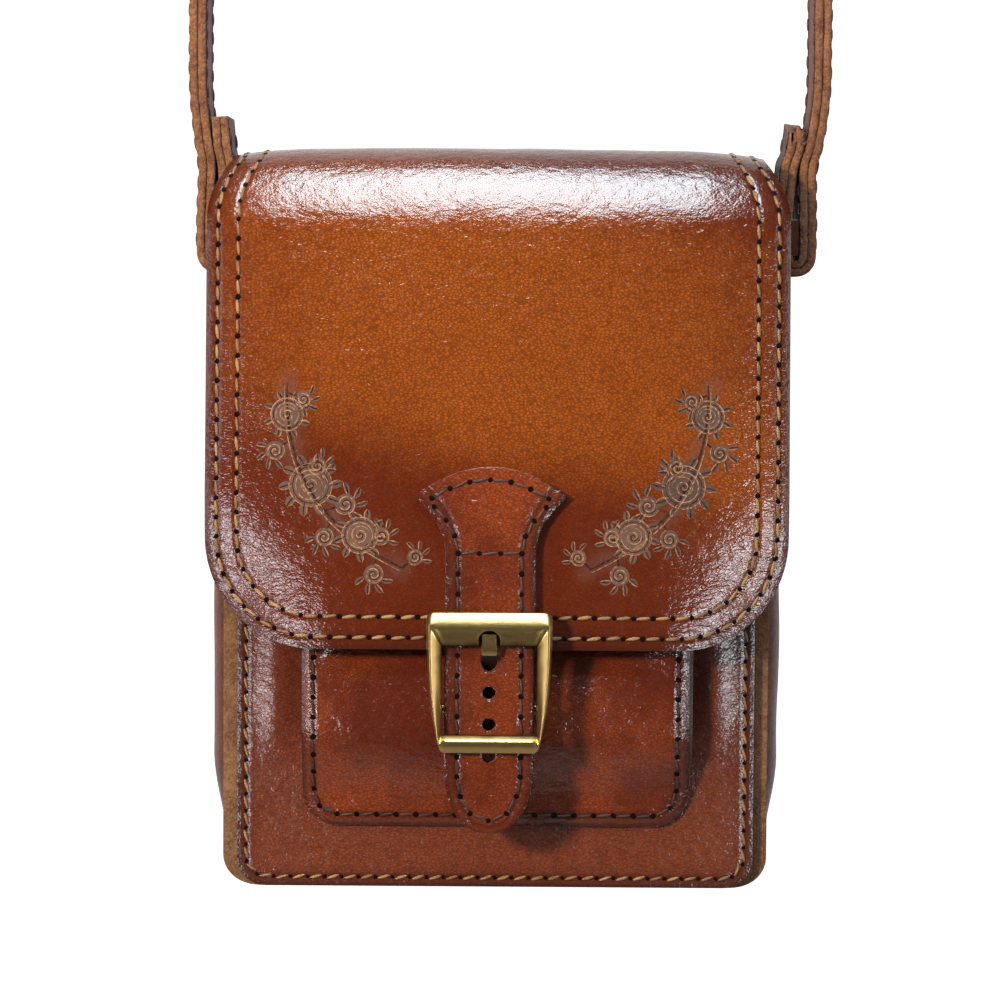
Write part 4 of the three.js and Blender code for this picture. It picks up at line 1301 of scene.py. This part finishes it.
tip_start = fastener_tip + tip_length
fan_arc = [(share * (fan_half - 4.6), mix(fan_top, fan_tip, (share * 0.8) ** 2) - fastener_seam)
           for share in spread(-1, 1, 20)]
fan_sides = [[(side * half, z) for half, z in (fan_edge(t, fastener_seam) for t in spread(0.12, 1, 14))]
             for side in (-1, 1)]
long_sides = [[(side * (fastener_half - fastener_seam), z) for z in spread(fan_waist, tip_start, 60)]
              for side in (-1, 1)]
tip_arc = [((fastener_half - fastener_seam) * math.cos(a) ** tip_fullness,
            mix(tip_start, fastener_tip + fastener_seam, math.sin(a)))
           for a in spread(0, math.pi / 2 - 0.03, 16)]
around = long_sides[0] + [(-x, z) for x, z in tip_arc[1:]] + tip_arc[:0:-1] + long_sides[1][::-1]
waist_row = [(x, fan_waist) for x in spread(fastener_seam - fastener_half, fastener_half - fastener_seam, 8)]
sew("fastening_strap_stitches", [strap_track(path) for path in (fan_arc, *fan_sides, around, waist_row)],
    brown_thread, "pocket_leather", pitch=5.6, girth=0.85, hole=1.6)

# The shoulder strap is sewn along both edges, and the stitches show on its outer and inner faces.
strap_tracks = []
line_normals = normals_of(shoulder_line)
for face_side in (-1, 1):
    for y in (strap_seam - strap_half, strap_half - strap_seam):
        strap_tracks.append([(Vector((p[0] + n[0] * face_side * strap_wall / 2, y,
                                      p[1] + n[1] * face_side * strap_wall / 2)),
                              Vector((n[0] * face_side, 0, n[1] * face_side)))
                             for p, n in list(zip(shoulder_line, line_normals))[3:-3]])
sew("shoulder_strap_stitches", strap_tracks, brown_thread, "strap_leather", girth=0.9, hole=1.3)

# Burnt pattern
# A scroll of coiled blossoms, leaves and tendrils is burnt into both lower corners of the flap. It
# is mirrored from the left to the right, with dull leaf shapes under fine dark and pale lines.
DULL, DARK, PALE = 0, 1, 2
pattern_lift = 0.05
layer_lift = 0.02
order_lift = 0.0001
# Tendrils as their place along the stem, their side of it and their size, and blossoms as their
# centre (x, z), their size, their number of petals and the first petal's heading.
tendrils = ((0.03, 1, 2.4), (0.2, -1, 2.7), (0.31, 1, 2.6), (0.55, 1, 3.0), (0.6, -1, 2.7),
            (0.8, 1, 2.6), (0.86, -1, 2.8), (0.99, 1, 2.3))
blossoms = (((-57.0, 131.5), 4.7, 8, 0.3), ((-50.5, 112.5), 6.2, 10, 0.0), ((-37.0, 99.0), 5.2, 9, 0.5))
pattern_skin = leather("burnt_leaf", rgb(126, 84, 58), rgb(80, 50, 34), rgb(92, 58, 40), gloss=0.4)


def line_material(name, light, dark):
    material, shader, look = new_material(name)
    fleck = look.noise(look.node("TexCoord", out=3), 1100.0)
    connect(look, shader, Roughness=0.6, Specular_IOR_Level=0.2,
            Base_Color=look.blend(dark, light, fleck.ramp(0.35, 0.65)))
    return material


burnt_line = line_material("burnt_line", rgb(84, 48, 32), rgb(30, 14, 10))
pale_line = line_material("pale_line", rgb(206, 152, 108), rgb(128, 80, 52))


def spiral(centre, radius, turns, start, tighten=0.12):
    """A coil that starts at its rim and winds inwards."""
    return [(centre[0] + radius * mix(1, tighten, t) * math.cos(start + 2 * math.pi * turns * t),
             centre[1] + radius * mix(1, tighten, t) * math.sin(start + 2 * math.pi * turns * t))
            for t in spread(0, 1, max(10, int(16 * abs(turns))))]


def towards(place, heading, length):
    return place[0] + length * math.cos(heading), place[1] + length * math.sin(heading)


def ray(place, heading, length, bend=0.0):
    """A slightly bent line from a place, for the middle of a leaf."""
    return [towards(place, heading + bend * t, length * t) for t in spread(0, 1, 8)]


def leaf(place, heading, length, width, bend=0.4):
    """A dull leaf with a dark vein and a pale edge on one side."""
    middle = ray(place, heading, length, bend)
    side = [towards(here, heading + math.pi / 2, width * 0.55 * math.sin(math.pi * i / 8))
            for i, here in enumerate(middle)]
    return [(middle, DULL, width * 1.25), (middle, DARK, 0.42), (side, PALE, 0.24)]


def disc(centre, size, reach, steps):
    """A dull round patch."""
    return [(centre[0] + size * share, centre[1]) for share in spread(-reach, reach, steps)], DULL, size * 1.9


def blossom(centre, size, petals, start):
    """A round blossom: a dull disc, pale rings, a coiled heart, and short leaves outside it."""
    lines = []
    for i in range(petals):
        heading = start + 2 * math.pi * i / petals
        lines += leaf(towards(centre, heading, size * 0.8), heading, size * 0.62, size * 0.3, 0.25)
    lines.append(disc(centre, size, 0.95, 10))
    for share, tone in ((0.95, PALE), (0.8, DARK), (0.66, PALE)):
        lines.append((spiral(centre, size * share, 1.0, start, 1.0), tone, 0.3))
    lines.append((spiral(centre, size * 0.52, 2.0, start, 0.1), PALE, 0.3))
    lines.append((spiral(centre, size * 0.24, 1.2, start + 2, 0.1), DARK, 0.45))
    return lines


def scroll_lines():
    """Every line of the left pattern as its points (x, z), its tone and its width."""
    lines = []
    stem_line = [bezier(stem_ends, t) for t in spread(0.0, 1.0, 40)]
    lines += [(stem_line, DARK, 0.7), ([(x - 0.7, z - 0.7) for x, z in stem_line], PALE, 0.3)]
    for t, side, size in tendrils:
        x, z = bezier(stem_ends, t)
        ahead = bezier(stem_ends, t + 0.02)
        heading = math.atan2(ahead[1] - z, ahead[0] - x) + side * 1.15
        centre = towards((x, z), heading, size * 2.0)
        lines.append((ray((x, z), heading, size * 1.1), DARK, 0.5))
        for turn in (-1.1, -0.35, 0.35, 1.1):
            base = towards(centre, heading + turn, size * 0.9)
            lines += leaf(base, heading + turn * 1.1, size * 1.15, size * 0.42)
        lines.append(disc(centre, size, 1, 8))
        lines.append((spiral(centre, size, side * 2.1, heading + math.pi, 0.08), PALE, 0.32))
        lines.append((spiral(centre, size * 0.72, side * 1.4, heading + math.pi, 0.1), DARK, 0.34))
    for centre, size, petals, start in blossoms:
        lines += blossom(centre, size, petals, start)
    return lines


def flap_skin(x, z):
    """A point of the flap's outer face at a height on its straight run."""
    return hide_skin(x, (z - flap_edge_height) / math.cos(flap_lean))


def burn(name, lines):
    """Lays every line on the flap as a thin strip that is widest in its middle, on both sides."""
    points, faces, kinds = [], [], []
    for side in (-1, 1):
        for order, (line, tone, width) in enumerate(lines):
            steps = 6 if tone == DULL else 1
            start = len(points)
            for i, (place, normal) in enumerate(zip(line, normals_of(line))):
                share = math.sqrt(max(0.0, 1 - (2 * i / (len(line) - 1) - 1) ** 2))
                half = width / 2 * (share if tone == DULL else 0.45 + 0.55 * share)
                for across in spread(-half, half, steps):
                    x, z = place[0] + normal[0] * across, place[1] + normal[1] * across
                    here, out = on_skin(flap_skin, -x if side > 0 else x, z, (0, -1, 0))
                    lift = pattern_lift + layer_lift * tone + order_lift * order
                    points.append(at(*(here + out * lift)))
            for i in range(len(line) - 1):
                for j in range(steps):
                    a = start + i * (steps + 1) + j
                    faces.append([a, a + 1, a + steps + 2, a + steps + 1])
                    kinds.append(tone)
    mesh = bpy.data.meshes.new(name)
    mesh.from_pydata(points, [], faces)
    mesh.attributes.new("rim", "FLOAT", "POINT").data.foreach_set("value", [20.0] * len(points))
    mesh.polygons.foreach_set("material_index", kinds)
    bm = bmesh.new()
    bm.from_mesh(mesh)
    bpy.data.meshes.remove(mesh)
    for face in bm.faces:
        if face.normal.y > 0:
            face.normal_flip()
    finish_mesh(bm, name, [pattern_skin, burnt_line, pale_line], "flap_leather")


burn("burnt_pattern", scroll_lines())

# Studio
# A white backdrop and a pale floor under the hanging bag. A small key light from the upper left and
# a broad one high in front light the colours. A long light overhead shines in the top bend, and low
# ones on both sides shine in the flap's curled corners.
def plate(name, size, place, turn, material):
    bm = bmesh.new()
    bmesh.ops.create_grid(bm, x_segments=1, y_segments=1, size=size / 2)
    bmesh.ops.transform(bm, matrix=Matrix.Translation(place) @ turn, verts=bm.verts)
    mesh = bpy.data.meshes.new(name)
    bm.to_mesh(mesh)
    bm.free()
    mesh.materials.append(material)
    thing = bpy.data.objects.new(name, mesh)
    bpy.context.scene.collection.objects.link(thing)


white, white_shader, white_look = new_material("studio_white")
connect(white_look, white_shader, Base_Color=(0.6, 0.6, 0.6, 1.0), Roughness=0.9, Specular_IOR_Level=0.0,
        Emission_Color=(1.0, 1.0, 1.0, 1.0), Emission_Strength=0.95)
pale, pale_shader, pale_look = new_material("pale_floor")
connect(pale_look, pale_shader, Base_Color=(0.8, 0.8, 0.8, 1.0), Roughness=0.9)
plate("backdrop", 6.0, Vector((0, 1.6, 0)), Matrix.Rotation(math.pi / 2, 4, "X"), white)
plate("floor", 2.6, Vector((0, 0, ground - 1.3)), Matrix.Identity(4), pale)


def soft_light(name, place, target, size, radiance, colour=(0.9, 0.95, 1.0), diffuse=True, glossy=True):
    """A rectangular light whose face is as bright as radiance times a lit white surface. It may be
    seen only as a sheen, or only as light on the colours."""
    data = bpy.data.lights.new(name, "AREA")
    data.shape = "RECTANGLE"
    data.size, data.size_y = size
    data.energy = radiance * math.pi * size[0] * size[1]
    data.color = colour
    lamp = bpy.data.objects.new(name, data)
    bpy.context.scene.collection.objects.link(lamp)
    lamp.location = place
    lamp.visible_diffuse = diffuse
    lamp.visible_glossy = glossy
    lamp.rotation_euler = (Vector(target) - Vector(place)).to_track_quat("-Z", "Y").to_euler()


middle_of_front = at(0, -40, 110)
soft_light("light_above", at(0, -240, 670), at(0, -70, 190), (0.3, 0.62), 17.0, (0.75, 0.92, 1.0),
           diffuse=False)
soft_light("light_high_front", at(0, -700, 1150), middle_of_front, (1.0, 0.7), 2.3, (1.0, 0.97, 0.93),
           glossy=False)
soft_light("light_key", at(-560, -800, 340), middle_of_front, (0.12, 0.12), 178.0, (1.0, 0.97, 0.94),
           glossy=False)
soft_light("light_low_left", at(-420, -640, -90), middle_of_front, (0.2, 0.2), 13.0, diffuse=False)
soft_light("light_low_right", at(440, -640, -80), middle_of_front, (0.2, 0.2), 15.0, diffuse=False)
soft_light("light_left", at(-700, -420, 140), middle_of_front, (0.3, 0.6), 2.2)
soft_light("light_right", at(700, -380, 160), middle_of_front, (0.3, 0.6), 2.2)

world = bpy.data.worlds.new("studio")
world.use_nodes = True
world.node_tree.nodes["Background"].inputs["Color"].default_value = (0.9, 0.93, 1.0, 1.0)
world.node_tree.nodes["Background"].inputs["Strength"].default_value = 0.05
bpy.context.scene.world = world
bpy.context.scene.view_settings.view_transform = "Standard"

frame_width = 270.0
camera_distance = 970.0
camera_rise = math.radians(3.5)
camera_roll = math.radians(0.4)
camera_centre = at(0.8, -flap_edge_front, 109)
camera_data = bpy.data.cameras.new("camera")
camera_data.sensor_width = 36.0
camera_data.lens = 36.0 * camera_distance / frame_width
camera = bpy.data.objects.new("camera", camera_data)
bpy.context.scene.collection.objects.link(camera)
camera_way = Vector((0, -math.cos(camera_rise), math.sin(camera_rise)))
camera.location = camera_centre + camera_way * camera_distance * mm
camera.rotation_euler = (Matrix.Rotation(math.pi / 2 - camera_rise, 3, "X")
                         @ Matrix.Rotation(camera_roll, 3, "Z")).to_euler()
bpy.context.scene.camera = camera
